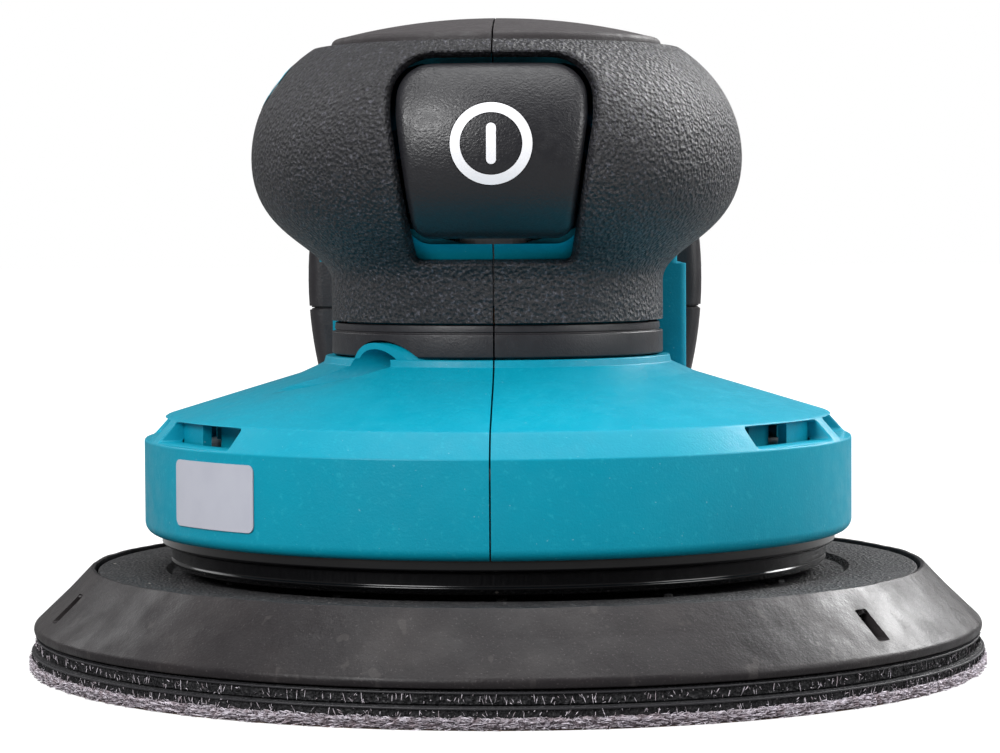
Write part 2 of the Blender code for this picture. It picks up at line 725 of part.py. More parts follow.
def make_button():
    button = keep_inside(prism(button_outline(0.0), "Y", -60.0, -25.0), head_solid(0.9, 55.0))
    button = cut(button, head_solid(3.4, 50.0))
    ring_groove = cut(prism(mark_outline(6.15), "Y", -60.0, -30.0), prism(mark_outline(4.35), "Y", -61.0, -29.0))
    button = cut(button, cut(ring_groove, head_solid(1.7, 50.0)))
    bar_groove = cut(prism(bar_outline(0.85, 3.15), "Y", -60.0, -30.0), head_solid(1.7, 50.0))
    button = cut(button, bar_groove)
    post = box((-3.0, -35.0, 71.4), (3.0, -30.0, 74.4))
    pivot = rod((-12.0, HINGE_Y, HINGE_Z), (12.0, HINGE_Y, HINGE_Z), 1.3, 12)
    finish(join(button, post, pivot), "power_button", "black_plastic")

    mark = cut(prism(mark_outline(6.0), "Y", -60.0, -30.0), prism(mark_outline(4.5), "Y", -61.0, -29.0))
    mark = cut(keep_inside(mark, head_solid(0.85, 55.0)), head_solid(1.55, 50.0))
    finish(mark, "power_mark_ring", "white_plastic")
    mark = keep_inside(prism(bar_outline(0.7, 3.0), "Y", -60.0, -30.0), head_solid(0.85, 55.0))
    finish(cut(mark, head_solid(1.55, 50.0)), "power_mark_bar", "white_plastic")


def coil(name, start, along, length, radius, wire, turns):
    """A coil spring from a start point, along a unit direction."""
    curve = bpy.data.curves.new(name, "CURVE")
    curve.dimensions = "3D"
    curve.bevel_depth = wire * MM
    curve.bevel_resolution = 2
    curve.use_fill_caps = True
    spline = curve.splines.new("POLY")
    per_turn = 8
    count = turns * per_turn + 1
    spline.points.add(count - 1)
    turn = Vector((0, 0, 1)).rotation_difference(Vector(along))
    for i in range(count):
        angle = 2 * math.pi * i / per_turn
        local = Vector((radius * math.cos(angle), radius * math.sin(angle), length * i / (count - 1)))
        spline.points[i].co = (*((Vector(start) + turn @ local) * MM), 1.0)
    wire_path = bpy.data.objects.new(name, curve)
    CUTTERS.objects.link(wire_path)
    bpy.context.view_layer.update()
    graph = bpy.context.evaluated_depsgraph_get()
    mesh = tidy(bpy.data.meshes.new_from_object(wire_path.evaluated_get(graph)))
    bpy.data.objects.remove(wire_path)
    obj = bpy.data.objects.new(name, mesh)
    CUTTERS.objects.link(obj)
    return finish(obj, name, "steel")


def make_controls():
    switch = box((-6.0, -28.4, 69.5), (6.0, -22.6, 76.5))
    ears = box((-10.0, -26.4, 71.5), (10.0, -24.0, 74.5))
    bore = rod((0, -30.0, PLUNGER_Z), (0, -24.4, PLUNGER_Z), 1.9, 12)
    finish(cut(join(switch, ears), bore), "main_switch", "black_plastic")
    plunger = rod((0, -29.7, PLUNGER_Z), (0, -26.2, PLUNGER_Z), 1.6, 12)
    finish(plunger, "switch_plunger", "white_plastic")

    cap = prism(rounded(speed_corners(0.0)), "Z", 88.6, 92.3)
    stem = box((-1.5, SPEED_Y - 1.5, 85.6), (1.5, SPEED_Y + 1.5, 89.0))
    finish(join(cap, stem), "speed_button", "black_plastic")
    board = box((-12.0, SPEED_Y - 9.0, 80.1), (12.0, SPEED_Y + 9.0, 81.5))
    key = box((-3.0, SPEED_Y - 3.0, 81.3), (3.0, SPEED_Y + 3.0, 84.4))
    finish(join(board, key), "speed_board", "board_green")

    case = box((-24.0, 27.5, 52.6), (24.0, 51.0, 68.0))
    fins = [box((x - 0.8, 28.5, 67.0), (x + 0.8, 50.0, 71.5)) for x in range(-20, 21, 8)]
    finish(join(case, *fins), "controller", "aluminium")


def make_terminals():
    block = box((-16.0, 57.2, 74.0), (16.0, 64.0, 77.2))
    blades = [box((x - 0.5, 63.0, 74.4), (x + 0.5, 72.0, 76.8)) for x in (-9.0, 9.0)]
    finish(join(block, *blades), "terminal_block", "black_plastic")


# ---------------------------------------------------------------- battery

CELL_R = 9.1
CELL_Z = 48.6
CELL_FIRST, CELL_PITCH = 71.5, 19.0
CELL_COUNT = 5
CASE_SPLIT = 54.0
CASE_WALL = 2.2
TERMINAL_X = 9.0


def battery_outline(inset):
    """The pack's cross-section below its rails: barrel sides and rounded corners, as (x, z)."""
    low, high = BATTERY_BOTTOM + inset, BATTERY_TOP - inset
    heights = [low + 4.0, 44.0, 50.0, 56.0, 62.0, high - 3.0]
    side = [(BATTERY_R - inset - (z - 59.0) ** 2 / 142.0, z) for z in heights]
    foot = [(side[0][0] - 4.0, low), (side[0][0] - 1.2, low + 1.2)]
    brow = [(side[-1][0] - 1.0, high - 0.9), (side[-1][0] - 3.2, high)]
    right = foot + side + brow
    return right + [(-x, z) for x, z in reversed(right)]


def battery_body(inset):
    def station(y, share):
        return [(x * share, y, 52.0 + (z - 52.0) * share) for x, z in battery_outline(inset)]

    front, back = BATTERY_FRONT + inset, BATTERY_BACK - inset
    return loft([station(front, 0.96), station(front + 2.0, 1.0), station(back - 3.0, 1.0), station(back, 0.94)])


def rail_block():
    outline = [(-RAIL_NECK_X, 68.0), (RAIL_NECK_X, 68.0), (RAIL_NECK_X, RAIL_LIP), (RAIL_X, RAIL_LIP),
               (RAIL_X, RAIL_TOP), (-RAIL_X, RAIL_TOP), (-RAIL_X, RAIL_LIP), (-RAIL_NECK_X, RAIL_LIP)]
    return prism(outline, "Y", 65.0, 160.0)


LATCH_X = 15.0
GAUGE_LOW, GAUGE_HIGH = (18.0, 44.0), (24.0, 47.0)      # (x, z) of the gauge button


def make_battery():
    case = join(battery_body(0.0), rail_block())
    case = cut(case, battery_body(CASE_WALL), box((-21.6, 76.6, 64.0), (21.6, 141.0, 75.2)))
    case = join(case, box((-17.0, 159.5, 50.4), (17.0, 169.5, 69.0)), box((-7.2, 143.5, 60.4), (7.2, 160.0, 69.0)))
    latch_space = box((-LATCH_X - 0.4, 161.0, 52.4), (LATCH_X + 0.4, 180.0, 80.0))
    hook_space = box((-5.4, 145.0, 62.2), (5.4, 165.0, 80.0))
    slots = [box((x - 1.1, 60.0, 73.0), (x + 1.1, 74.0, 80.0)) for x in (-TERMINAL_X, TERMINAL_X)]
    (x_low, z_low), (x_high, z_high) = GAUGE_LOW, GAUGE_HIGH
    gauge_hole = box((x_low - 0.4, 160.0, z_low - 0.4), (x_high + 0.4, 175.0, z_high + 0.4))
    case = cut(case, *slots, gauge_hole, latch_space, hook_space)
    top = copy_of(case, "top")
    bottom = cut(case, box((-60, 40, CASE_SPLIT - 0.15), (60, 190, 120)))
    top = cut(top, box((-60, 40, 0), (60, 190, CASE_SPLIT + 0.15)))
    finish(bottom, "battery_case_bottom", "battery_black")
    finish(top, "battery_case_top", "battery_black")

    for i in range(CELL_COUNT):
        y = CELL_FIRST + CELL_PITCH * i
        cell = rod((-29.5, y, CELL_Z), (29.5, y, CELL_Z), CELL_R, 16)
        finish(cell, f"battery_cell_{i + 1}", "cell_blue")
    board = box((-25.0, 64.0, 61.0), (25.0, 140.0, 62.4))
    contacts = [box((x - 2.4, 76.0, 62.0), (x + 2.4, 84.0, 66.8)) for x in (-TERMINAL_X, TERMINAL_X)]
    finish(join(board, *contacts), "battery_board", "board_green")


def make_latch():
    face = prism(rounded_box_outline(LATCH_X, 57.0, 68.6, 2.0), "Y", 163.6, 171.0)
    stem = box((-4.6, 150.0, 66.6), (4.6, 165.0, 68.4))
    hook = prism([(150.0, 67.0), (156.0, 67.0), (156.0, 79.2), (153.6, 79.2), (150.0, 76.8)],
                 "X", -4.6, 4.6)
    grip_lines = [rod((-16.0, 171.4, z), (16.0, 171.4, z), 0.8, 8) for z in (60.0, 62.8, 65.6)]
    latch = cut(join(face, stem, hook), *grip_lines)
    finish(latch, "battery_latch", "latch_red")
    coil("latch_spring", (0.0, 166.0, 52.9), (0, 0, 1), 3.5, 1.7, 0.3, 3)
    (x_low, z_low), (x_high, z_high) = GAUGE_LOW, GAUGE_HIGH
    key = box((x_low, 166.6, z_low), (x_high, 171.3, z_high))
    finish(key, "gauge_button", "white_plastic")


# Moving pieces that don't turn about the motor's axis: a point of each one's joint axis
JOINT_POINTS = {
    "pad_bearing_inner": (ORBIT_R, 0.0, 22.4),
    "pad_hub": (ORBIT_R, 0.0, 15.4),
    "backing_plate": (ORBIT_R, 0.0, 10.9),
    "pad_screw_1": (ORBIT_R, 0.0, 10.9),
    "pad_screw_2": (ORBIT_R, 0.0, 10.9),
    "pad_screw_3": (ORBIT_R, 0.0, 10.9),
    "pad_cushion": (ORBIT_R, 0.0, 5.6),
    "hook_facing": (ORBIT_R, 0.0, 3.4),
    "interface_disc": (ORBIT_R, 0.0, 1.6),
    "sanding_disc": (ORBIT_R, 0.0, 0.0),
    "power_button": (0.0, HINGE_Y, HINGE_Z),
    "power_mark_ring": (0.0, HINGE_Y, HINGE_Z),
    "power_mark_bar": (0.0, HINGE_Y, HINGE_Z),
    "switch_plunger": (0.0, -29.7, PLUNGER_Z),
    "speed_button": (0.0, SPEED_Y, 88.6),
    "battery_latch": (0.0, 166.0, 57.0),
    "gauge_button": (21.0, 166.6, 45.5),
}


def move_origins():
    for name, point in JOINT_POINTS.items():
        obj = bpy.data.objects[name]
        place = Vector(point) * MM
        obj.data.transform(Matrix.Translation(-place))
        obj.location = place


def main():
    make_housing()
    make_screws()
    make_grips()
    make_top_cover()
    make_neck_band()
    make_label()
    make_baffle()
    make_stator()
    make_rotor()
    make_cooling_fan()
    make_counterweight()
    make_bearings()
    make_pad()
    make_button()
    make_controls()
    make_terminals()
    make_battery()
    make_latch()
    move_origins()


clear_scene()
PARTS = new_collection("orbital_sander")
CUTTERS = new_collection("orbital_sander_cutters")
MATERIALS = {name: make_material(name) for name in FINISHES}
main()
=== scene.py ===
"""Looks of the cordless random orbital sander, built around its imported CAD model.

Frame: +Z up, the power button at -Y, the battery at +Y. Shapes are worked out in millimetres and
scaled to metres when their meshes are made. Driving sizes come from the CAD nodes' boxes.
"""

import json
import math
import random

import bmesh
import bpy
import numpy as np
from mathutils import Matrix, Vector, noise


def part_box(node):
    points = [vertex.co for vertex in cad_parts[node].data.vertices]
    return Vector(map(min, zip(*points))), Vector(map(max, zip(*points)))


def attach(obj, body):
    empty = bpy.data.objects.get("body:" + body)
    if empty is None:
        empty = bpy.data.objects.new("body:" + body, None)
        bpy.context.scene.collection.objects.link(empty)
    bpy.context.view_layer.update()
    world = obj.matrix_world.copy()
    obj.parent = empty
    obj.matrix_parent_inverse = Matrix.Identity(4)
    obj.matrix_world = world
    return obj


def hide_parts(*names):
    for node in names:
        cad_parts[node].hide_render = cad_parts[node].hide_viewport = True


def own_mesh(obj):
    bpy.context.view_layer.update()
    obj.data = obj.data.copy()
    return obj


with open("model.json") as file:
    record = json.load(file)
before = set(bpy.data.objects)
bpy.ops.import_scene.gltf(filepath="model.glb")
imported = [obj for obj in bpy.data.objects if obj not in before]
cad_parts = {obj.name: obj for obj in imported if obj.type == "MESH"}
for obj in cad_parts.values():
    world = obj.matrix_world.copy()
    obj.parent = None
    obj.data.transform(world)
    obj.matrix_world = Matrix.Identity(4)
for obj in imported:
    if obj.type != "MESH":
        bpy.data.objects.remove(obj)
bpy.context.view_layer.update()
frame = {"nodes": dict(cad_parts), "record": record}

MM = 0.001
BODY_OF = {node: body for body, nodes in frame["record"]["behaviour"]["bodies"].items() for node in nodes}


def low(node, axis):
    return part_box(node)[0]["XYZ".index(axis)] / MM


def high(node, axis):
    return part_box(node)[1]["XYZ".index(axis)] / MM


# Driving dimensions, from the CAD model
HEAD_R = high("grip_right", "X")
HEAD_TOP = high("grip_right", "Z")
GRIP_LOW = low("grip_right", "Z")
COVER_TOP = high("top_cover_right", "Z")
NECK_R = high("neck_band_right", "X") + 0.1
BAND_LOW, BAND_TOP = low("neck_band_right", "Z"), high("neck_band_right", "Z")
SKIRT_R = high("housing_right", "X")
SKIRT_BOTTOM = low("housing_right", "Z")
ARM_BACK = high("housing_right", "Y")
DISC_R = (high("sanding_disc", "X") - low("sanding_disc", "X")) / 2
ORBIT_R = (high("sanding_disc", "X") + low("sanding_disc", "X")) / 2
BATTERY_FRONT, BATTERY_BACK = low("battery_case_bottom", "Y"), high("battery_case_bottom", "Y")
BATTERY_LOW = low("battery_case_bottom", "Z")
BATTERY_R = high("battery_case_top", "X")
RAIL_TOP = high("battery_case_top", "Z")
PLATE_R, PLATE_TOP = (high("backing_plate", "X") - ORBIT_R), high("backing_plate", "Z")

# Sizes that the looks add
SEAM = 0.13             # each half stops this far from the seam plane X = 0
GRIP_T = 2.1            # rubber over the housing
CORE_INSET = 2.35       # housing surface, under the rubber
COVER_EDGE = HEAD_TOP - 0.8      # the head's edge round the top cover
HEAD_MID = 78.5         # height of the head's widest section
HEAD_REACH = 10.0       # how much further the head reaches to the rear than to the front
WEB_X, WEB_BACK = 29.8, 56.5
ROUND = 160             # segments of a large round piece
SMALL_ROUND = 40


# ---------------------------------------------------------------- mesh helpers

def link(obj):
    bpy.context.scene.collection.objects.link(obj)
    return obj


def object_of(builder, name):
    """A linked object from a bmesh in millimetres, with its faces pointing out."""
    bmesh.ops.remove_doubles(builder, verts=builder.verts, dist=1e-5)
    bmesh.ops.recalc_face_normals(builder, faces=builder.faces)
    bmesh.ops.scale(builder, vec=(MM, MM, MM), verts=builder.verts)
    mesh = bpy.data.meshes.new(name)
    builder.to_mesh(mesh)
    builder.free()
    return link(bpy.data.objects.new(name, mesh))


def tidy(mesh, merge=2e-6):
    """Merges the points that a cut leaves almost on top of each other."""
    builder = bmesh.new()
    builder.from_mesh(mesh)
    bmesh.ops.remove_doubles(builder, verts=builder.verts, dist=merge)
    bmesh.ops.dissolve_degenerate(builder, edges=builder.edges, dist=merge)
    builder.to_mesh(mesh)
    builder.free()
    return mesh


def bake(obj):
    """Replaces the object's mesh with what its modifiers make of it."""
    bpy.context.view_layer.update()
    graph = bpy.context.evaluated_depsgraph_get()
    mesh = bpy.data.meshes.new_from_object(obj.evaluated_get(graph))
    obj.modifiers.clear()
    obj.data = tidy(mesh)
    return obj


def combine(target, tools, operation):
    for tool in tools:
        modifier = target.modifiers.new(operation.lower(), "BOOLEAN")
        modifier.operation = operation
        modifier.solver = "EXACT"
        modifier.object = tool
    bake(target)
    for tool in tools:
        bpy.data.objects.remove(tool)
    return target


def cut(target, *tools):
    return combine(target, tools, "DIFFERENCE")


def join(target, *tools):
    return combine(target, tools, "UNION")


def keep_inside(target, *tools):
    return combine(target, tools, "INTERSECT")


def copy_of(obj):
    return link(bpy.data.objects.new("copy", obj.data.copy()))


def bevelled(obj, width, segments=2, above=50.0):
    """Rounds the edges of a plain shape that are sharper than an angle."""
    modifier = obj.modifiers.new("bevel", "BEVEL")
    modifier.width = width * MM
    modifier.segments = segments
    modifier.limit_method = "ANGLE"
    modifier.angle_limit = math.radians(above)
    return bake(obj)


def fit(obj, node, material, replaced=None, name=None, smooth_below=32.0):
    """Names a piece, gives it its material, and lets it stand for its CAD node."""
    obj.name = name or f"{node}_fine"
    obj.data.name = obj.name
    obj.data.materials.clear()
    obj.data.materials.append(MATERIALS[material])
    obj.data.shade_smooth()
    obj.data.set_sharp_from_angle(angle=math.radians(smooth_below))
    if replaced is None:
        replaced = [node]
    if replaced:
        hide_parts(*replaced)
    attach(obj, BODY_OF[node])
    return obj


# ---------------------------------------------------------------- shape helpers

def box(low_corner, high_corner, round_edges=0.0):
    builder = bmesh.new()
    size = Vector(high_corner) - Vector(low_corner)
    centre = (Vector(high_corner) + Vector(low_corner)) / 2
    place = Matrix.Translation(centre) @ Matrix.Diagonal((*size, 1.0))
    bmesh.ops.create_cube(builder, size=1.0, matrix=place)
    obj = object_of(builder, "box")
    return bevelled(obj, round_edges, 3) if round_edges else obj


def rod(start, end, radius, segments=SMALL_ROUND):
    """A cylinder between two points."""
    builder = bmesh.new()
    start, end = Vector(start), Vector(end)
    along = end - start
    turn = Vector((0, 0, 1)).rotation_difference(along).to_matrix().to_4x4()
    bmesh.ops.create_cone(
        builder,
        cap_ends=True,
        segments=segments,
        radius1=radius,
        radius2=radius,
        depth=along.length,
        matrix=Matrix.Translation((start + end) / 2) @ turn,
    )
    return object_of(builder, "rod")


def loft(rings):
    """A closed solid through rings of equally many points, with flat ends."""
    builder = bmesh.new()
    rows = [[builder.verts.new(point) for point in points] for points in rings]
    for lower, upper in zip(rows, rows[1:]):
        for i, corner in enumerate(lower):
            j = (i + 1) % len(lower)
            builder.faces.new((corner, lower[j], upper[j], upper[i]))
    builder.faces.new(rows[0])
    builder.faces.new(rows[-1])
    return object_of(builder, "loft")


def turned(profile, segments=ROUND, centre=(0.0, 0.0)):
    """A solid of revolution about a vertical axis, from a closed outline of (radius, height)."""
    builder = bmesh.new()
    rows = []
    for i in range(segments):
        angle = 2 * math.pi * (i + 0.5) / segments
        c, s = math.cos(angle), math.sin(angle)
        rows.append([builder.verts.new((centre[0] + r * c, centre[1] + r * s, z)) for r, z in profile])
    count = len(profile)
    for i, row in enumerate(rows):
        after = rows[(i + 1) % segments]
        for k in range(count):
            m = (k + 1) % count
            if profile[k][0] < 1e-6 and profile[m][0] < 1e-6:
                continue
            builder.faces.new((row[k], row[m], after[m], after[k]))
    return object_of(builder, "turned")


def prism(outline, axis, low_end, high_end):
    """An outline extruded along an axis."""
    places = {
        "X": lambda u, v, w: (w, u, v),
        "Y": lambda u, v, w: (u, w, v),
        "Z": lambda u, v, w: (u, v, w),
    }
    place = places[axis]
    return loft([[place(u, v, w) for u, v in outline] for w in (low_end, high_end)])


def rounded(corners, steps=8):
    """A closed outline from (u, v, radius) corners, with an arc at each rounded one."""
    outline = []
    count = len(corners)
    for i, (u, v, radius) in enumerate(corners):
        here = Vector((u, v))
        if radius == 0.0:
            outline.append((u, v))
            continue
        before = (Vector(corners[i - 1][:2]) - here).normalized()
        after = (Vector(corners[(i + 1) % count][:2]) - here).normalized()
        half = before.angle(after) / 2
        centre = here + (before + after).normalized() * (radius / math.sin(half))
        start = here + before * (radius / math.tan(half)) - centre
        end = here + after * (radius / math.tan(half)) - centre
        sweep = start.angle_signed(end)
        for k in range(steps + 1):
            turn = Matrix.Rotation(-sweep * k / steps, 2)
            outline.append(tuple(centre + turn @ start))
    return outline


def rounded_box_outline(half_u, low_v, high_v, radius, steps=8):
    corners = [(-half_u, low_v), (half_u, low_v), (half_u, high_v), (-half_u, high_v)]
    return rounded([(u, v, radius) for u, v in corners], steps)


def spaced(outline, like, step=1.2):
    """The outline with points added along its sides, as many as keep a like outline's points
    within a step of each other."""
    dense = []
    for i, here in enumerate(outline):
        j = (i + 1) % len(outline)
        parts = max(1, math.ceil(math.dist(like[i], like[j]) / step))
        for k in range(parts):
            dense.append(tuple(a + (b - a) * k / parts for a, b in zip(here, outline[j])))
    return dense


def bezier(p0, p1, p2, p3, count):
    points = []
    for i in range(count + 1):
        t = i / count
        weights = ((1 - t) ** 3, 3 * t * (1 - t) ** 2, 3 * t * t * (1 - t), t ** 3)
        points.append(tuple(sum(w * p[k] for w, p in zip(weights, (p0, p1, p2, p3))) for k in (0, 1)))
    return points


# ---------------------------------------------------------------- the head's form

def head_profile(inset):
    """The head's half width by height, from the neck up: a straight neck, then two curves."""
    neck = NECK_R
    outline = [(neck, 40.0), (neck, GRIP_LOW), (neck, 56.5)]
    outline += bezier((neck, 59.5), (neck, 65.0), (HEAD_R, 66.0), (HEAD_R, HEAD_MID), 26)
    outline += bezier((HEAD_R, HEAD_MID), (HEAD_R, 85.5), (34.6, 91.6), (28.6, COVER_EDGE - 0.3), 26)[1:]
    moved = []
    for i, (r, z) in enumerate(outline):
        before, after = outline[max(0, i - 1)], outline[min(len(outline) - 1, i + 1)]
        along = Vector((after[0] - before[0], after[1] - before[1])).normalized()
        moved.append((r - inset * along.y, z + inset * along.x))
    return moved


def head_reach(z):
    share = min(1.0, max(0.0, (z - 60.0) / 14.0))
    return HEAD_REACH * share * share * (3 - 2 * share)


def head_ring(across, z, segments=ROUND):
    """The head's outline: round in front, and a longer superellipse behind."""
    behind = across + head_reach(z)
    points = []
    for i in range(segments):
        angle = 2 * math.pi * i / segments
        c, s = math.cos(angle), math.sin(angle)
        x = across * math.copysign(abs(c) ** (0.9 if s > 0 else 1.0), c)
        y = behind * s ** 0.9 if s > 0 else across * s
        points.append((x, y, z))
    return points


def head_solid(inset, start, segments=ROUND):
    rings = [head_ring(r, z, segments) for r, z in head_profile(inset) if z > start + 0.4]
    first = head_radius(start, inset)
    return loft([head_ring(first, start, segments)] + rings)


def head_radius(z, inset):
    radii, heights = zip(*head_profile(inset))
    return float(np.interp(z, heights, radii))


def front_point(x, z, inset):
    """The point of the head's front at x and z, sunk by an inset."""
    radius = head_radius(z, inset)
    return (x, -math.sqrt(max(radius * radius - x * x, 1.0)), z)


def side_point(y, z, inset):
    """The point of the head's left side at y and z, sunk by an inset."""
    across = head_radius(z, inset)
    behind = across if y < 0 else across + head_reach(z)
    share = min(0.98, abs(y) / behind)
    if y < 0:
        return (-across * math.sqrt(1 - share * share), y, z)
    s = share ** (1 / 0.9)
    return (-across * math.sqrt(1 - s * s) ** 0.9, y, z)


def plug(outline, steps, point, flat):
    """A solid whose outline grows and shrinks with its depth under the head's surface, which gives
    an opening or a key its rounded edges. steps: (grow, inset) from deep to shallow; flat gives its
    two ends' coordinate and their axis."""
    axis, deep, shallow = flat
    like = outline(0.0)

    def ring(grow, inset, place=None):
        points = [list(point(u, v, inset)) for u, v in spaced(outline(grow), like)]
        if place is not None:
            for p in points:
                p[axis] = place
        return points

    rings = [ring(steps[0][0], 0.0, deep)]
    rings += [ring(grow, inset) for grow, inset in steps]
    rings.append(ring(steps[-1][0], 0.0, shallow))
    return loft(rings)


def resampled(ring, count):
    """The ring with a given number of points, so that rings of unlike outlines join up."""
    if len(ring) == count:
        return ring
    points = np.array([list(p) for p in ring] + [list(ring[0])])
    lengths = np.concatenate([[0], np.cumsum(np.linalg.norm(np.diff(points, axis=0), axis=1))])
    places = np.linspace(0, lengths[-1], count, endpoint=False)
    return [tuple(float(np.interp(s, lengths, points[:, k])) for k in range(3)) for s in places]


def button_outline(grow):
    """The power button's outline, seen from the front, as (x, z)."""
    return rounded([
        (-11.7 - grow, 66.1 - grow, 3.0 + grow),
        (11.7 + grow, 66.1 - grow, 3.0 + grow),
        (14.1 + grow, 84.0, 16.0),
        (13.8 + grow, 91.9 + grow, 5.2 + grow),
        (-13.8 - grow, 91.9 + grow, 5.2 + grow),
        (-14.1 - grow, 84.0, 16.0),
    ])


def recess_outline(grow):
    """The opening in the rubber round the power button, as (x, z)."""
    return rounded([
        (-11.5 - grow, 63.0 - grow, 1.0 + grow),
        (11.5 + grow, 63.0 - grow, 1.0 + grow),
        (14.9 + grow, 84.0, 18.0),
        (14.6 + grow, 92.8 + grow, 6.2 + grow),
        (-14.6 - grow, 92.8 + grow, 6.2 + grow),
        (-14.9 - grow, 84.0, 18.0),
    ])


FRONT = (1, -18.0, -60.0)
LEFT_SIDE = (0, -10.0, -60.0)


# ---------------------------------------------------------------- materials

def linear(red, green, blue):
    """Linear RGB from the usual 0-255 values."""
    shares = (c / 255 for c in (red, green, blue))
    return tuple(((c + 0.055) / 1.055) ** 2.4 if c > 0.04 else c / 12.92 for c in shares)


class Surface:
    """A Principled material whose colour, roughness and bump vary by procedural textures."""

    def __init__(self, name, colour, roughness, metallic=0.0, coat=0.0, specular=0.5):
        self.material = bpy.data.materials.new(name)
        self.material.use_nodes = True
        self.tree = self.material.node_tree
        self.shader = self.tree.nodes["Principled BSDF"]
        self.place = self.tree.nodes.new("ShaderNodeTexCoord").outputs["Object"]
        self.colour = None
        self.height_normal = None
        self.set("Base Color", (*colour, 1.0))
        self.set("Roughness", roughness)
        self.set("Metallic", metallic)
        self.set("Coat Weight", coat)
        self.set("Coat Roughness", 0.12)
        self.set("Specular IOR Level", specular)

    def set(self, socket, value):
        self.shader.inputs[socket].default_value = value

    def add(self, kind, **values):
        node = self.tree.nodes.new(kind)
        for name, value in values.items():
            setattr(node, name, value)
        return node

    def join(self, output, socket):
        self.tree.links.new(output, socket)

    def stretched(self, scale):
        """The object's coordinates, scaled apart along the axes, for streaks."""
        mapping = self.add("ShaderNodeMapping")
        mapping.inputs["Scale"].default_value = scale
        self.join(self.place, mapping.inputs["Vector"])
        return mapping.outputs["Vector"]

    def noise(self, size_mm, detail=3.0, rough=0.55, stretch=None):
        """Noise from 0 to 1 with features about size_mm across."""
        node = self.add("ShaderNodeTexNoise")
        node.inputs["Scale"].default_value = 1.0 / (size_mm * MM)
        node.inputs["Detail"].default_value = detail
        node.inputs["Roughness"].default_value = rough
        self.join(self.stretched(stretch) if stretch else self.place, node.inputs["Vector"])
        return node.outputs["Fac"]

    def cells(self, size_mm, smooth=0.0):
        node = self.add("ShaderNodeTexVoronoi", feature="SMOOTH_F1" if smooth else "F1")
        node.inputs["Scale"].default_value = 1.0 / (size_mm * MM)
        if smooth:
            node.inputs["Smoothness"].default_value = smooth
        self.join(self.place, node.inputs["Vector"])
        return node.outputs["Distance"]

    def texture(self, row):
        """From a row of noise's arguments, or from "cells" and then its arguments."""
        return self.cells(*row[1:]) if row[0] == "cells" else self.noise(*row)

    def axis(self, name):
        node = self.add("ShaderNodeSeparateXYZ")
        self.join(self.place, node.inputs["Vector"])
        return node.outputs[name]

    def math(self, operation, a, b=0.0):
        node = self.add("ShaderNodeMath", operation=operation)
        for socket, value in zip(node.inputs, (a, b)):
            if isinstance(value, (int, float)):
                socket.default_value = value
            else:
                self.join(value, socket)
        return node.outputs["Value"]

    def between(self, value, start, end, to_start=0.0, to_end=1.0):
        """value mapped from start..end to to_start..to_end, and held at the ends."""
        node = self.add("ShaderNodeMapRange", interpolation_type="SMOOTHSTEP")
        limits = {"From Min": start, "From Max": end, "To Min": to_start, "To Max": to_end}
        for name, number in limits.items():
            node.inputs[name].default_value = number
        self.join(value, node.inputs["Value"])
        return node.outputs["Result"]

    def tint(self, mask, colour):
        """Blends a colour over what is there, by a mask from 0 to 1."""
        mix = self.add("ShaderNodeMix", data_type="RGBA")
        sockets = [s for s in mix.inputs if s.enabled]
        base, over = sockets[1], sockets[2]
        if self.colour is None:
            base.default_value = self.shader.inputs["Base Color"].default_value
        else:
            self.join(self.colour, base)
        over.default_value = (*colour, 1.0)
        self.join(mask, mix.inputs["Factor"])
        self.colour = next(s for s in mix.outputs if s.enabled)
        self.join(self.colour, self.shader.inputs["Base Color"])
        return self

    def roughen(self, mask, smooth, rough):
        self.join(self.between(mask, 0.25, 0.75, smooth, rough), self.shader.inputs["Roughness"])
        return self

    def bump(self, height, depth_mm):
        node = self.add("ShaderNodeBump")
        node.inputs["Strength"].default_value = 1.0
        node.inputs["Distance"].default_value = depth_mm * MM
        self.join(height, node.inputs["Height"])
        if self.height_normal:
            self.join(self.height_normal, node.inputs["Normal"])
        self.height_normal = node.outputs["Normal"]
        self.join(self.height_normal, self.shader.inputs["Normal"])
        return self


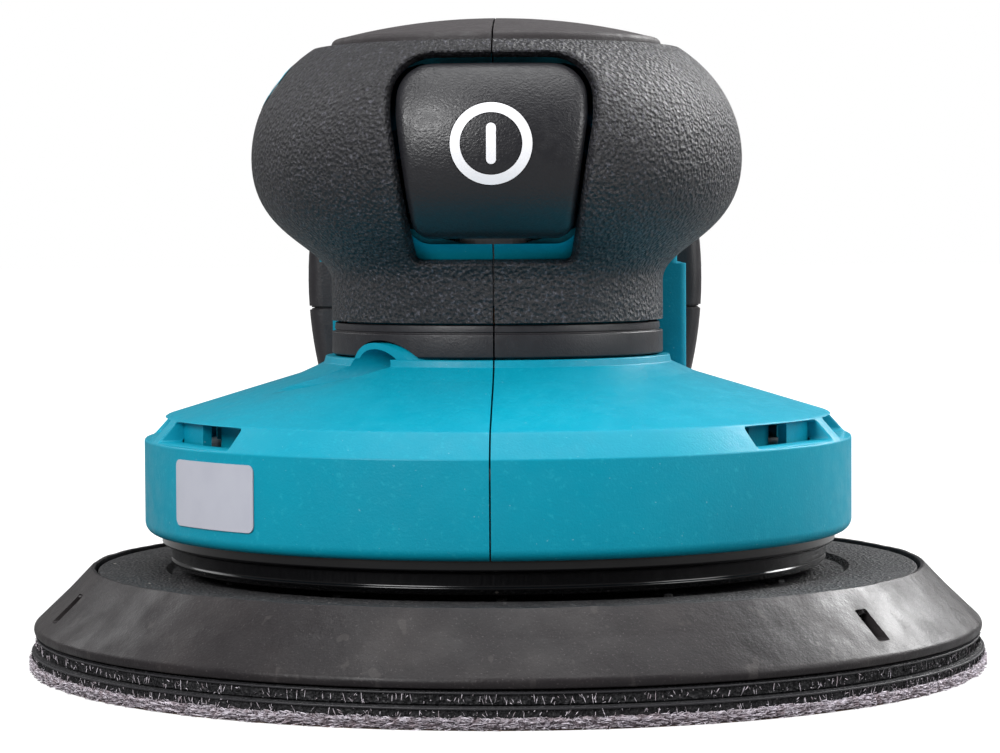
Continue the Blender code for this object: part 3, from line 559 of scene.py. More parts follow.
# Each finish: colour (0-255), roughness, shine, tints (texture, start, end, share, colour: the colour
# comes in as the texture goes from start to end), roughness (texture, least, most), and bumps
# (texture, depth in mm). A texture is (size in mm, detail, roughness, stretch) or ("cells", size, smooth).
FINISHES = {
    "teal_plastic": (
        (0, 140, 165), 0.45, {"specular": 0.2},
        [((14.0,), 0.35, 0.7, 0.35, (0, 150, 174)), ((0.9, 4.0), 0.55, 0.8, 0.4, (40, 170, 190)),
         ((0.55, 1.0), 0.76, 0.8, 0.3, (150, 205, 214))],
        ((3.0,), 0.36, 0.52), [((0.35, 2.0), 0.035), ((5.0,), 0.05)]),
    "black_rubber": (
        (25, 25, 29), 0.46, {},
        # the rubber's pale specks are painted glints: the light caught by its pebbled grain
        [((9.0,), 0.35, 0.7, 0.5, (31, 30, 34)), ((0.5, 3.0), 0.52, 0.74, 0.75, (92, 92, 102))],
        ((0.7,), 0.32, 0.6), [(("cells", 0.62, 0.5), 0.42), ((0.4, 4.0, 0.65), 0.3)]),
    "plain_rubber": (
        (24, 24, 27), 0.34, {}, [((2.5, 4.0), 0.5, 0.8, 0.4, (70, 68, 68))],
        ((4.0,), 0.26, 0.5), [((0.5, 3.0), 0.02)]),
    "black_plastic": (
        (34, 33, 37), 0.42, {}, [((0.5, 3.0), 0.6, 0.85, 0.35, (76, 74, 78))],
        ((2.0,), 0.36, 0.5), [((0.32, 3.0, 0.6), 0.05)]),
    "button_plastic": (
        (28, 28, 32), 0.38, {}, [((0.45, 3.0), 0.6, 0.85, 0.25, (54, 54, 60))],
        ((1.2,), 0.3, 0.44), [((0.42, 2.0, 0.5, (1.0, 1.0, 1.3)), 0.09)]),
    "cover_plastic": (
        (48, 44, 46), 0.6, {}, [((0.6, 3.0), 0.5, 0.8, 0.5, (34, 32, 35))],
        ((2.0,), 0.5, 0.7), [((0.35, 3.0), 0.08)]),
    "gloss_black": (
        (10, 10, 12), 0.16, {"coat": 0.2, "specular": 0.3}, [], ((6.0,), 0.08, 0.2), [((8.0,), 0.02)]),
    "pad_rubber": (
        (30, 27, 29), 0.4, {"specular": 0.24},
        [((16.0, 4.0), 0.42, 0.7, 0.5, (50, 46, 46)), ((5.0, 5.0, 0.6), 0.55, 0.75, 0.5, (20, 18, 19)),
         ((0.3, 3.0), 0.58, 0.8, 0.6, (88, 82, 84)),
         ((2.2, 2.0, 0.4, (1.0, 1.0, 0.12)), 0.66, 0.72, 0.3, (72, 68, 67))],
        ((6.0, 4.0), 0.3, 0.52), [((0.4, 3.0, 0.6), 0.05), ((7.0,), 0.24)]),
    "dusty_plastic": (
        (28, 28, 30), 0.6, {},
        [((8.0,), 0.4, 0.7, 0.4, (38, 37, 39)), ((0.45, 2.0), 0.6, 0.72, 0.7, (120, 116, 116)),
         ((1.6, 1.0), 0.77, 0.79, 1.0, (205, 196, 188))],
        ((2.0,), 0.45, 0.7), [(("cells", 0.55, 0.5), 0.3), ((0.4, 3.0), 0.25)]),
    "hook_black": (
        (24, 24, 27), 0.7, {}, [((0.6, 3.0), 0.5, 0.75, 0.7, (66, 64, 68))],
        ((1.0,), 0.5, 0.9), [(("cells", 0.5), 0.3)]),
    "loop_grey": (
        (118, 108, 114), 0.9, {},
        [((1.4, 4.0), 0.45, 0.7, 0.8, (78, 70, 76)), ((0.5, 2.0), 0.6, 0.75, 0.8, (214, 208, 216))],
        ((1.0,), 0.8, 1.0), [(("cells", 0.5), 0.4)]),
    "loop_pile": (
        (226, 219, 228), 0.7, {}, [((1.2, 3.0), 0.4, 0.7, 0.9, (158, 142, 148))],
        ((1.0,), 0.7, 0.95), [((0.2,), 0.05)]),
    "grit_face": (
        (120, 92, 74), 0.85, {}, [(("cells", 0.5), 0.2, 0.6, 0.8, (84, 60, 46))],
        ((0.6,), 0.7, 0.95), [(("cells", 0.4), 0.2)]),
    "white_plastic": (
        (240, 240, 244), 0.5, {}, [((1.0, 3.0), 0.5, 0.8, 0.3, (224, 224, 230))],
        ((1.0,), 0.42, 0.58), [((0.4,), 0.02)]),
    "label_silver": (
        (182, 184, 195), 0.4, {}, [((6.0, 2.0), 0.4, 0.7, 0.4, (170, 172, 185))],
        ((4.0,), 0.3, 0.5), [((1.5,), 0.01)]),
}
PALE_LINE_FROM, PALE_LINE_TO, PALE_LINE_RAGGED = 16.0, 16.2, 0.6      # the cushion's pale rim, by height in mm


def finished(name):
    """The surface that a row of FINISHES describes."""
    colour, roughness, shine, tints, (rough_texture, least, most), bumps = FINISHES[name]
    s = Surface(f"{name}_fine", linear(*colour), roughness, **shine)
    for texture, start, end, share, over in tints:
        s.tint(s.between(s.texture(texture), start, end, 0.0, share), linear(*over))
    s.roughen(s.texture(rough_texture), least, most)
    for texture, depth in bumps:
        s.bump(s.texture(texture), depth)
    return s


def pale_top_line(s):
    """A thin, broken pale line round the cushion's upper edge."""
    height = s.math("ADD", s.axis("Z"), s.math("MULTIPLY", s.noise(1.1, 3.0), PALE_LINE_RAGGED * MM))
    # paints the cushion's top edge pale by height alone, up to a ragged limit
    s.tint(s.between(height, PALE_LINE_FROM * MM, PALE_LINE_TO * MM, 0.0, 0.8), linear(150, 143, 140))


def metal(name, colour, roughness, streak=(1.0, 1.0, 0.1)):
    s = Surface(name, colour, roughness, metallic=1.0)
    worn = s.between(s.noise(1.0, 3.0, 0.6, streak), 0.4, 0.75, 0.0, 0.35)
    s.tint(worn, tuple(c * 0.6 for c in colour))
    s.roughen(s.noise(1.5), roughness * 0.8, roughness * 1.35)
    return s.bump(s.noise(0.4, 3.0, 0.6, streak), 0.02)


def moulded(name, colour, roughness, light):
    """A plain moulded plastic with a fine grain."""
    s = Surface(name, colour, roughness)
    s.tint(s.between(s.noise(0.6, 3.0), 0.55, 0.8, 0.0, 0.3), light)
    s.roughen(s.noise(2.0), roughness * 0.85, roughness * 1.2)
    return s.bump(s.noise(0.4, 3.0), 0.05)


def circuit_board():
    s = Surface("board_green_fine", (0.02, 0.16, 0.07), 0.45)
    s.tint(s.between(s.cells(2.4), 0.1, 0.5, 0.0, 0.5), (0.01, 0.09, 0.04))
    return s.roughen(s.noise(2.0), 0.35, 0.6).bump(s.noise(1.0), 0.03)


def make_materials():
    surfaces = {name: finished(name) for name in FINISHES}
    pale_top_line(surfaces["pad_rubber"])
    surfaces["steel"] = metal("steel_fine", (0.55, 0.55, 0.57), 0.3)
    surfaces["aluminium"] = metal("aluminium_fine", (0.6, 0.61, 0.62), 0.38)
    surfaces["copper"] = metal("copper_fine", (0.7, 0.28, 0.12), 0.35, (1.0, 1.0, 6.0))
    surfaces["board_green"] = circuit_board()
    for name, colour, roughness, light in (
        ("battery_black", (36, 34, 37), 0.36, (60, 58, 62)),
        ("latch_red", (170, 20, 24), 0.4, (200, 60, 60)),
        ("cell_blue", (30, 90, 160), 0.35, (60, 120, 180)),
    ):
        surfaces[name] = moulded(f"{name}_fine", linear(*colour), roughness, linear(*light))
    return {name: surface.material for name, surface in surfaces.items()}


MATERIALS = make_materials()


# ---------------------------------------------------------------- housing

WINDOW_CENTRES = (56.3, 83.8, 111.3, 138.8)      # degrees from the front, on both sides
WINDOW_HALF = 11.7
WINDOW_LOW, WINDOW_HIGH = 35.6, 38.5
CHAMFER_TOP_R, CHAMFER_TOP_Z, CHAMFER_LOW_Z = 51.8, 38.9, 35.2
SCREWS = {              # node: (y, z, x of the head's seat)
    "housing_screw_front": (-19.1, 46.3, -9.0),
    "housing_screw_web": (49.0, 47.0, -22.0),
    "housing_screw_arm": (128.0, 83.8, -22.0),
}
SCREW_POCKET_R, BOSS_R = 2.8, 3.8
FRONT_POCKET_R, FRONT_BOSS_R = 3.2, 4.15
FRONT_RIM_R = NECK_R + 0.45
RAIL_X, RAIL_NECK_X, RAIL_LIP = 27.3, 24.3, 73.2
SPEED_Y = 64.0


def chamfer_r(z):
    share = (z - CHAMFER_LOW_Z) / (CHAMFER_TOP_Z - CHAMFER_LOW_Z)
    return SKIRT_R + (CHAMFER_TOP_R - SKIRT_R) * share


def skirt_solid():
    return turned(rounded([
        (0.0, BAND_LOW - 0.3, 0.0),
        (26.9, BAND_LOW - 0.3, 0.25),
        (27.2, 46.9, 0.3),
        (31.0, 45.2, 8.0),
        (39.3, 42.7, 14.0),
        (CHAMFER_TOP_R, CHAMFER_TOP_Z, 1.6),
        (SKIRT_R, CHAMFER_LOW_Z, 0.5),
        (SKIRT_R, SKIRT_BOTTOM, 1.8),
        (0.0, SKIRT_BOTTOM, 0.0),
    ]))


def skirt_cavity():
    inner = SKIRT_R - 2.4
    return turned([
        (0.0, 52.0), (21.7, 52.0), (21.7, 46.0), (24.8, 42.9), (50.4, 36.6),
        (inner, 34.0), (inner, 18.0), (0.0, 18.0),
    ])


def arm_ring(y, half_x, low_z, high_z, radius):
    return [(x, y, z) for x, z in rounded_box_outline(half_x, low_z, high_z, radius)]


def arm_stations():
    """(y, half width, top) along the hood, from inside the head to where its end rounds off."""
    return [(12.0, 31.0, 93.0), (45.0, 32.0, 92.4), (72.0, 32.1, 91.7), (100.0, 32.0, 90.6),
            (130.0, 31.9, 89.4), (160.0, 31.6, 88.0)]


def arm_solid(grow):
    rings = [arm_ring(y, x + grow, 70.4 - grow, top + grow, 5.5) for y, x, top in arm_stations()]
    for k in range(1, 8):
        angle = math.pi / 2 * k / 8
        shrink = 1 - math.cos(angle)
        y = 160.0 + (ARM_BACK + grow - 160.0) * math.sin(angle)
        rings.append(arm_ring(y, 31.6 + grow - 4.0 * shrink, 70.4 - grow + 1.0 * shrink,
                              88.0 + grow - 6.0 * shrink, 5.5))
    return loft(rings)


def web_solid(grow):
    x, back = WEB_X + grow, WEB_BACK + grow
    outline = rounded([(-x, 6.0, 1.0), (x, 6.0, 1.0), (x, back, 5.0), (-x, back, 5.0)])
    lower = prism(outline, "Z", 40.0 - grow, 62.0)
    slim = x - 1.4
    outline = rounded([(-slim, 6.0, 1.0), (slim, 6.0, 1.0), (slim, back, 5.0), (-slim, back, 5.0)])
    return join(lower, prism(outline, "Z", 58.0, 74.0))


def web_fillet():
    """The rounded foot of the web, where it runs out into the cone."""
    rings = []
    for k in range(7):
        share = k / 6
        x = WEB_X + 2.6 * (1 - math.sqrt(1 - (1 - share) ** 2))
        z = 40.0 + 7.0 * share
        corners = [(-x, 14.0, 1.0), (x, 14.0, 1.0), (x, 50.0, 4.0), (-x, 50.0, 4.0)]
        rings.append([(u, v, z) for u, v in rounded(corners)])
    return loft(rings)


def hood_cavity():
    return loft([arm_ring(y, 28.5, 79.8, z, 3.0) for y, z in ((10.0, 90.4), (100.0, 88.0), (141.0, 86.4))])


def rail_channel():
    outline = rail_outline(RAIL_X, RAIL_NECK_X, RAIL_LIP, 60.0, RAIL_TOP + 0.3)
    return prism(outline, "Y", WEB_BACK + 0.4, 180.0)


def rail_outline(half, neck, lip, foot, top):
    """A T-shaped outline, as (x, z): the neck from the foot to the lip, and the head above it."""
    return [(-neck, foot), (neck, foot), (neck, lip), (half, lip),
            (half, top), (-half, top), (-half, lip), (-neck, lip)]


def window_cutter(middle):
    """One exhaust window through the chamfer, its corners rounded and its rim eased."""
    reach = math.radians(WINDOW_HALF) * 54.0
    height = (WINDOW_HIGH - WINDOW_LOW) / 2
    centre_z = (WINDOW_HIGH + WINDOW_LOW) / 2
    rings = []
    for grow, out in ((0.0, -9.0), (0.0, -0.45), (0.06, -0.18), (0.22, 0.02), (0.3, 6.0)):
        outline = rounded_box_outline(reach + grow, -height - grow, height + grow, 0.45 + grow, 4)
        ring = []
        for s, dz in outline:
            angle = math.radians(middle) + s / 54.0
            r = chamfer_r(centre_z + dz) + out
            ring.append((-r * math.sin(angle), -r * math.cos(angle), centre_z + dz))
        rings.append(ring)
    return loft(rings)


def arc_slab(inner, outer, low_z, high_z, start_deg, end_deg, steps=12):
    angles = [math.radians(start_deg + (end_deg - start_deg) * k / steps) for k in range(steps + 1)]
    outer_arc = [(-outer * math.sin(a), -outer * math.cos(a)) for a in angles]
    inner_arc = [(-inner * math.sin(a), -inner * math.cos(a)) for a in reversed(angles)]
    return prism(outer_arc + inner_arc, "Z", low_z, high_z)


def window_walls():
    """Behind each window, a stepped inner wall over its outer two thirds."""
    walls = []
    for centre in WINDOW_CENTRES:
        for side in (1, -1):
            far, near, edge = centre + WINDOW_HALF + 1.0, centre + 2.4, centre - 4.4
            walls.append(arc_slab(46.6, 47.8, 33.9, 39.6, side * edge, side * near))
            walls.append(arc_slab(49.4, 50.8, 33.9, 38.9, side * near, side * far))
    return walls


def front_boss():
    """The round boss of the neck's screw, whose rim stands out of the cone as an arch."""
    y, z, _ = SCREWS["housing_screw_front"]
    boss = rod((-40.0, y, z), (1.0, y, z), FRONT_BOSS_R, 64)
    limit = turned([(0.0, 36.0), (FRONT_RIM_R, 36.0), (FRONT_RIM_R, 56.0), (0.0, 56.0)])
    return keep_inside(boss, limit)


def screw_bosses(shell):
    shell = join(shell, front_boss())
    for node, (y, z, seat) in SCREWS.items():
        if node != "housing_screw_front":
            shell = join(shell, rod((seat - 2.0, y, z), (-seat + 1.0, y, z), BOSS_R))
    return shell


def screw_holes():
    tools = []
    for node, (y, z, seat) in SCREWS.items():
        pocket = FRONT_POCKET_R if node == "housing_screw_front" else SCREW_POCKET_R
        tools.append(rod((-60.0, y, z), (seat, y, z), pocket, 64))
        tools.append(rod((seat - 1.0, y, z), (-seat - 1.0, y, z), 1.75))
    return tools


def hood_vents():
    """Air inlets along both flanks of the hood."""
    slots = []
    for side in (1, -1):
        for k in range(6):
            y = 84.0 + 5.0 * k
            corners = [(y, 79.0), (y + 2.0, 79.0), (y + 5.0, 87.0), (y + 3.0, 87.0)]
            outline = rounded([(u, v, 0.9) for u, v in corners], 4)
            slots.append(prism(outline, "X", *sorted((side * 27.0, side * 40.0))))
    return slots


def speed_outline(grow):
    x, y = 6.5 + grow, 4.5 + grow
    corners = [(-x, SPEED_Y - y), (x, SPEED_Y - y), (x, SPEED_Y + y), (-x, SPEED_Y + y)]
    return rounded([(u, v, 2.0) for u, v in corners])


def split(whole, node, material, slip=0.0):
    """The two halves of a piece, either side of the seam plane."""
    right = copy_of(whole)
    left = cut(whole, box((-SEAM, -90.0, 0.0), (90.0, 190.0, 120.0)))
    right = cut(right, box((-90.0, -90.0, 0.0), (SEAM, 190.0, 120.0)))
    right.data.transform(Matrix.Translation((0.0, -slip * MM, 0.0)))
    fit(left, node + "_left", material)
    fit(right, node + "_right", material)


# The housing's rough limits
BUTTON_GAP, RECESS_SPARE = 0.8, 1.6      # room round the button, and behind the recess's edge
RECESS_FLOOR = 68.0                      # the teal strip under the button starts below this height
LEFT_FLANK = -26.3                       # the web's left side is flush with the neck
OUTSIDE, INSIDE = -60.0, -24.0           # an opening in the head's front, cut along Y


def make_housing():
    shell = join(skirt_solid(), head_solid(CORE_INSET, 44.5, 120), web_solid(0.0), web_fillet(),
                 arm_solid(0.0))
    shell = cut(shell, skirt_cavity(), head_solid(4.1, 50.0, 80), web_hollow(), hood_cavity())
    shell = screw_bosses(shell)
    shell = cut(shell, *screw_holes())
    shell = cut(shell, prism(button_outline(BUTTON_GAP), "Y", OUTSIDE, INSIDE), rail_channel())
    recess = prism(recess_outline(RECESS_SPARE), "Y", OUTSIDE, INSIDE)
    shell = cut(shell, keep_inside(recess, box((-30, -70, RECESS_FLOOR), (30, -20, 110))))
    shell = cut(shell, box((-36.0, 4.0, 45.6), (LEFT_FLANK, WEB_BACK + 2.0, 62.5)))
    shell = cut(shell, box((-6.0, 146.0, 76.0), (6.0, 180.0, 80.4)), *hood_vents())
    windows = [window_cutter(side * centre) for centre in WINDOW_CENTRES for side in (1, -1)]
    shell = cut(shell, *windows)
    shell = join(shell, *window_walls())
    shell = cut(shell, prism(speed_outline(0.35), "Z", 82.0, 96.0))
    split(shell, "housing", "teal_plastic", 0.06)


def web_hollow():
    left, right, front, back = -24.4, WEB_X - 3.6, 20.0, WEB_BACK - 2.2
    corners = [(left, front), (right, front), (right, back), (left, back)]
    return prism(rounded([(x, y, 3.0) for x, y in corners]), "Z", 46.5, 86.0)


def star_outline(radius, depth, count=48):
    """The six-lobed drive of a screw's head."""
    points = []
    for a in (2 * math.pi * k / count for k in range(count)):
        r = radius + depth * math.cos(6 * a)
        points.append((math.cos(a) * r, math.sin(a) * r))
    return points


def make_screws():
    for node, (y, z, seat) in SCREWS.items():
        profile = rounded([(0.0, 1.6, 0.0), (2.4, 1.6, 0.7), (2.4, 0.0, 0.15), (0.0, 0.0, 0.0)], 5)
        head = cut(turned(profile, SMALL_ROUND), prism(star_outline(1.05, 0.18), "Z", 0.6, 3.0))
        screw = join(head, rod((0, 0, -2 * abs(seat) + 4.0), (0, 0, 0.3), 1.5, 24))
        place = Matrix.Translation(Vector((seat - 0.2, y, z)) * MM)
        screw.data.transform(place @ Matrix.Rotation(-math.pi / 2, 4, "Y"))
        fit(screw, node, "steel")


# ---------------------------------------------------------------- rubber, bands, covers

BADGE_Y, BADGE_Z, BADGE_LONG, BADGE_TALL = 3.0, 89.8, 12.0, 4.8
BADGE_LINES = (("teal_plastic", -0.9, -1.5), ("white_plastic", -2.0, -2.25))   # (colour, outer, inner)
COVER_R = 25.7


def badge_outline(grow):
    long, tall, count = BADGE_LONG + grow, BADGE_TALL + grow, 72
    angles = [2 * math.pi * i / count for i in range(count)]
    return [(BADGE_Y + long * math.cos(a), BADGE_Z + tall * math.sin(a)) for a in angles]


def cover_ring(across, z):
    return [(x, y, z) for x, y, _ in head_ring(across, COVER_EDGE)]


def make_grips():
    grip = cut(head_solid(0.0, GRIP_LOW), head_solid(GRIP_T, 50.0, 120))
    grip = cut(grip, cover_pocket(), web_solid(0.3), arm_solid(0.3))
    flare = [(0.0, 2.6), (0.0, 1.9), (0.25, 1.3), (0.5, 0.7), (0.68, 0.35), (0.95, 0.1), (1.35, -0.02),
             (1.6, -0.6)]
    grip = cut(grip, plug(recess_outline, flare, front_point, FRONT))
    pocket = [(0.25, 1.3), (0.25, 0.3), (0.35, 0.08), (0.6, -0.02), (0.8, -0.6)]
    grip = cut(grip, keep_inside(plug(badge_outline, pocket, side_point, LEFT_SIDE), badge_floor()))
    split(grip, "grip", "black_rubber", 0.05)


def cover_pocket():
    rings = [cover_ring(COVER_R + 0.3, z) for z in (COVER_EDGE - 8.0, COVER_EDGE - 0.55)]
    rings.append(cover_ring(COVER_R + 0.9, COVER_EDGE + 0.2))
    rings.append(cover_ring(COVER_R + 0.9, COVER_EDGE + 3.0))
    return loft(rings)


def badge_floor():
    """Space outside the badge's floor, 1.3 mm under the rubber's surface."""
    return cut(box((-60.0, -30.0, 70.0), (-15.0, 40.0, 110.0)), head_solid(1.3, 50.0, 120))


def make_badge():
    edge = [(0.0, 1.1), (0.0, 0.4), (-0.12, 0.16), (-0.45, 0.03), (-0.7, -0.6)]
    badge = keep_inside(plug(badge_outline, edge, side_point, LEFT_SIDE), head_solid(0.0, 50.0))
    badge = cut(badge, head_solid(1.1, 52.0, 120))
    fit(badge, "side_badge", "gloss_black")
    for number, (colour, outer, inner) in enumerate(BADGE_LINES, 1):
        line = plug(badge_outline, [(outer, 0.3), (outer, -0.6)], side_point, LEFT_SIDE)
        middle = plug(badge_outline, [(inner, 0.4), (inner, -0.7)], side_point, (0, -9.0, -61.0))
        line = cut(keep_inside(line, head_solid(-0.03, 50.0)), middle)
        line = cut(line, head_solid(0.2, 52.0, 120))
        fit(line, "side_badge", colour, [], f"side_badge_line_{number}")


def make_top_cover():
    rings = [cover_ring(COVER_R - 0.6, COVER_EDGE - 2.0), cover_ring(COVER_R, COVER_EDGE - 1.4)]
    for k in range(7):
        angle = math.pi / 2 * k / 6
        across = COVER_R - 0.9 + 0.9 * math.cos(angle)
        rings.append(cover_ring(across, COVER_EDGE + 0.3 + 0.95 * math.sin(angle)))
    edge, rise = COVER_EDGE + 1.25, COVER_TOP - COVER_EDGE - 1.25
    for k in range(1, 14):
        share = 1 - k / 14
        ring = cover_ring(COVER_R - 0.9, edge + rise * (1 - share * share))
        rings.append([(x * share, 5.0 + (y - 5.0) * share, z) for x, y, z in ring])
    split(loft(rings), "top_cover", "cover_plastic")


def make_neck_band():
    low_z, high_z = BAND_LOW, BAND_TOP
    band = turned(rounded([
        (25.35, high_z, 0.25),
        (25.45, 52.15, 0.05),
        (25.3, 52.05, 0.05),
        (25.3, 51.85, 0.05),
        (25.88, 51.8, 0.2),
        (25.9, low_z, 0.25),
        (23.95, low_z, 0.1),
        (23.95, high_z, 0.1),
    ], 4))
    y, z, _ = SCREWS["housing_screw_front"]
    band = cut(band, web_solid(0.3), rod((-60.0, y, z), (-5.0, y, z), FRONT_BOSS_R + 0.4, 64))
    split(band, "neck_band", "black_plastic", 0.04)


LABEL_START, LABEL_END = 38.3, 58.3      # degrees from the front towards the left
LABEL_LOW, LABEL_TOP = 23.9, 33.7


def make_label():
    """A plain plate with rounded corners, bent round the skirt."""
    half = math.radians(LABEL_END - LABEL_START) / 2
    plate = arc_slab(SKIRT_R + 0.08, SKIRT_R + 0.26, 20.0, 40.0, -20.0, 20.0, 60)
    outline = rounded_box_outline(SKIRT_R * math.sin(half), LABEL_LOW, LABEL_TOP, 1.1)
    label = keep_inside(plate, prism(outline, "Y", -60.0, -40.0))
    label.data.transform(Matrix.Rotation(-math.radians((LABEL_START + LABEL_END) / 2), 4, "Z"))
    fit(label, "skirt_label", "label_silver")


def make_baffle():
    low_z, high_z = low("baffle_ring", "Z"), high("baffle_ring", "Z")
    profile = rounded([
        (52.5, high_z, 0.1),
        (52.6, low_z + 0.3, 0.3),
        (51.4, 18.9, 0.5),
        (51.0, 17.0, 0.3),
        (51.3, 16.6, 0.2),
        (50.4, 15.7, 0.3),
        (49.2, 15.9, 0.3),
        (49.2, high_z, 0.1),
    ], 4)
    fit(turned(profile), "baffle_ring", "gloss_black")


# ---------------------------------------------------------------- pad

PAD_CENTRE = (ORBIT_R, 0.0)
SLOT_ANGLES = (70.7, -49.3, -169.3)      # from the front towards the left
CUSHION_TOP = high("pad_cushion", "Z")
FACING_TOP = high("hook_facing", "Z")
DISC_TOP = high("sanding_disc", "Z")
PAD_ROUND = 240                          # segments of the pad's round pieces


def cushion_profile():
    return rounded([
        (0.0, 10.6, 0.0),
        (64.45, 10.6, 0.3),
        (64.4, CUSHION_TOP - 0.1, 0.15),
        (64.95, CUSHION_TOP, 0.25),
        (68.6, 11.8, 12.0),
        (74.1, 6.6, 1.1),
        (73.6, FACING_TOP + 0.3, 0.3),
        (0.0, FACING_TOP + 0.3, 0.0),
    ], 6)


NOISE_SEED = 7           # without a seed, noise_vector takes its offsets from the clock
noise.seed_set(NOISE_SEED)


def wobble(obj, amount, size_mm, seed, where):
    """Moves points in and out a little by smooth noise, where a test of the point allows it."""
    from_noise = np.random.default_rng(seed).uniform(-100, 100, 3)
    for vertex in obj.data.vertices:
        if where(vertex.co / MM):
            offset = noise.noise_vector(vertex.co / (size_mm * MM) + Vector(from_noise))
            vertex.co += offset * (amount * MM)


def on_pad(angle):
    """Turns a piece made at the pad's front round to an angle, and moves it to the pad's centre."""
    return Matrix.Translation((ORBIT_R * MM, 0, 0)) @ Matrix.Rotation(math.radians(-angle), 4, "Z")


def make_cushion():
    cushion = turned(cushion_profile(), PAD_ROUND, PAD_CENTRE)
    wobble(cushion, 0.12, 3.0, 4, lambda p: p.z > CUSHION_TOP - 0.6)
    slots = []
    for angle in SLOT_ANGLES:
        slot = prism(rounded_box_outline(1.35, 8.6, 12.8, 0.35, 3), "Y", -72.5, -66.0)
        slot.data.transform(on_pad(angle))
        slots.append(slot)
    fit(cut(cushion, *slots), "pad_cushion", "pad_rubber")
    for number, angle in enumerate(SLOT_ANGLES, 1):
        shred = torn_foam(number)
        shred.data.transform(on_pad(angle))
        fit(shred, "pad_cushion", "pad_rubber", [], f"slot_foam_{number}")


def torn_foam(seed):
    """The ragged foam seen inside a slot of the cushion."""
    builder = bmesh.new()
    bmesh.ops.create_grid(builder, x_segments=10, y_segments=18, size=1.0)
    rng = np.random.default_rng(seed)
    for vertex in builder.verts:
        x, z = vertex.co.x * 1.3, vertex.co.y * 2.1
        depth = -67.6 + 0.5 * (abs(z) < 1.2) + rng.uniform(-0.35, 0.35)
        vertex.co = Vector((x, depth, 10.65 + z))
    made = bmesh.ops.extrude_face_region(builder, geom=builder.faces[:])
    moved = [item for item in made["geom"] if isinstance(item, bmesh.types.BMVert)]
    bmesh.ops.translate(builder, vec=(0, 0.8, 0), verts=moved)
    return object_of(builder, "torn_foam")


def make_backing_plate():
    top = PLATE_TOP
    plate = turned(rounded([
        (0.0, 15.0, 0.0),
        (20.0, 15.0, 0.3),
        (20.6, 14.5, 0.3),
        (52.6, 14.3, 0.3),
        (53.4, top - 0.1, 0.3),
        (PLATE_R, top - 0.1, 0.3),
        (PLATE_R, 10.85, 0.2),
        (0.0, 10.85, 0.0),
    ], 4), PAD_ROUND, PAD_CENTRE)
    ribs = []
    for k in range(12):
        rib = box((22.0, -0.8, 14.0), (48.0, 0.8, 14.9), 0.25)
        rib.data.transform(Matrix.Rotation(2 * math.pi * k / 12, 4, "Z"))
        rib.data.transform(Matrix.Translation((ORBIT_R * MM, 0, 0)))
        ribs.append(rib)
    fit(join(plate, *ribs), "backing_plate", "dusty_plastic")


def layer(outer, low_z, high_z, edge):
    """A round sheet of the pad, with rounded edges."""
    profile = [(0.0, high_z, 0.0), (outer, high_z, edge), (outer, low_z, edge), (0.0, low_z, 0.0)]
    return turned(rounded(profile, 4), PAD_ROUND, PAD_CENTRE)


def strands(name, count, seed, make_path, thickness, sides=3):
    """Many short bent fibres, as one mesh of thin tubes."""
    rng = random.Random(seed)
    points, faces = [], []
    for _ in range(count):
        path = [Vector(p) for p in make_path(rng)]
        start = len(points)
        for i, here in enumerate(path):
            along = (path[min(i + 1, len(path) - 1)] - path[max(i - 1, 0)]).normalized()
            across = along.orthogonal().normalized()
            other = along.cross(across)
            width = thickness * (0.55 if i in (0, len(path) - 1) else 1.0)
            for k in range(sides):
                angle = 2 * math.pi * k / sides
                points.append((here + (across * math.cos(angle) + other * math.sin(angle)) * width) * MM)
        for i in range(len(path) - 1):
            for k in range(sides):
                a, b = start + i * sides + k, start + i * sides + (k + 1) % sides
                faces.append((a, b, b + sides, a + sides))
        faces.append([start + k for k in reversed(range(sides))])
        faces.append([start + (len(path) - 1) * sides + k for k in range(sides)])
    mesh = bpy.data.meshes.new(name)
    mesh.from_pydata(points, [], faces)
    return link(bpy.data.objects.new(name, mesh))


def rim_point(angle, radius, z):
    return (ORBIT_R + radius * math.cos(angle), radius * math.sin(angle), z)


def loop_path(rng):
    """One loop of the disc's pile: out of its edge, over, and back in."""
    angle = rng.uniform(0, 2 * math.pi)
    lean = rng.uniform(-0.016, 0.016)
    z = rng.uniform(0.25, DISC_TOP + 0.15)
    reach = DISC_R - rng.uniform(0.25, 1.1)
    lift = rng.uniform(-0.35, 0.5)
    high_z = min(max(z + lift, 0.15), DISC_TOP + 0.5)
    return [
        rim_point(angle, DISC_R - 1.6, z),
        rim_point(angle + lean * 0.4, (reach + DISC_R) / 2 - 0.35, (z + high_z) / 2),
        rim_point(angle + lean, min(reach + 0.35, DISC_R - 0.12), high_z),
        rim_point(angle + lean * 1.6, reach - 0.2, high_z - 0.1),
    ]


def top_loop_path(rng):
    """A loop that lies on the disc's rolled upper edge."""
    angle = rng.uniform(0, 2 * math.pi)
    radius = DISC_R - rng.uniform(0.3, 1.5)
    lean, reach = rng.uniform(-0.018, 0.018), rng.uniform(-0.5, 0.5)
    z = DISC_TOP - 0.1
    return [
        rim_point(angle, radius, z - 0.1),
        rim_point(angle + lean * 0.5, min(radius + reach * 0.5, DISC_R - 0.2), z + rng.uniform(0.15, 0.4)),
        rim_point(angle + lean, min(radius + reach, DISC_R - 0.2), z - 0.1),
    ]


def hook_path_between(outer, low_z, high_z):
    """Upright fibres at the rim of a hook layer, some bent over at the tip."""

    def path(rng):
        angle = rng.uniform(0, 2 * math.pi)
        radius = outer - rng.uniform(-0.25, 0.5)
        lean, tilt = rng.uniform(-0.006, 0.006), rng.uniform(-0.2, 0.3)
        start, end = sorted((rng.uniform(low_z, high_z), rng.uniform(low_z, high_z)))
        return [
            rim_point(angle, radius, start),
            rim_point(angle + lean * 0.5, radius + tilt * 0.6, (start + end) / 2),
            rim_point(angle + lean, radius + tilt, end),
        ]

    return path


STRAND_SMOOTH = 80                       # degrees: fibres are smooth all round


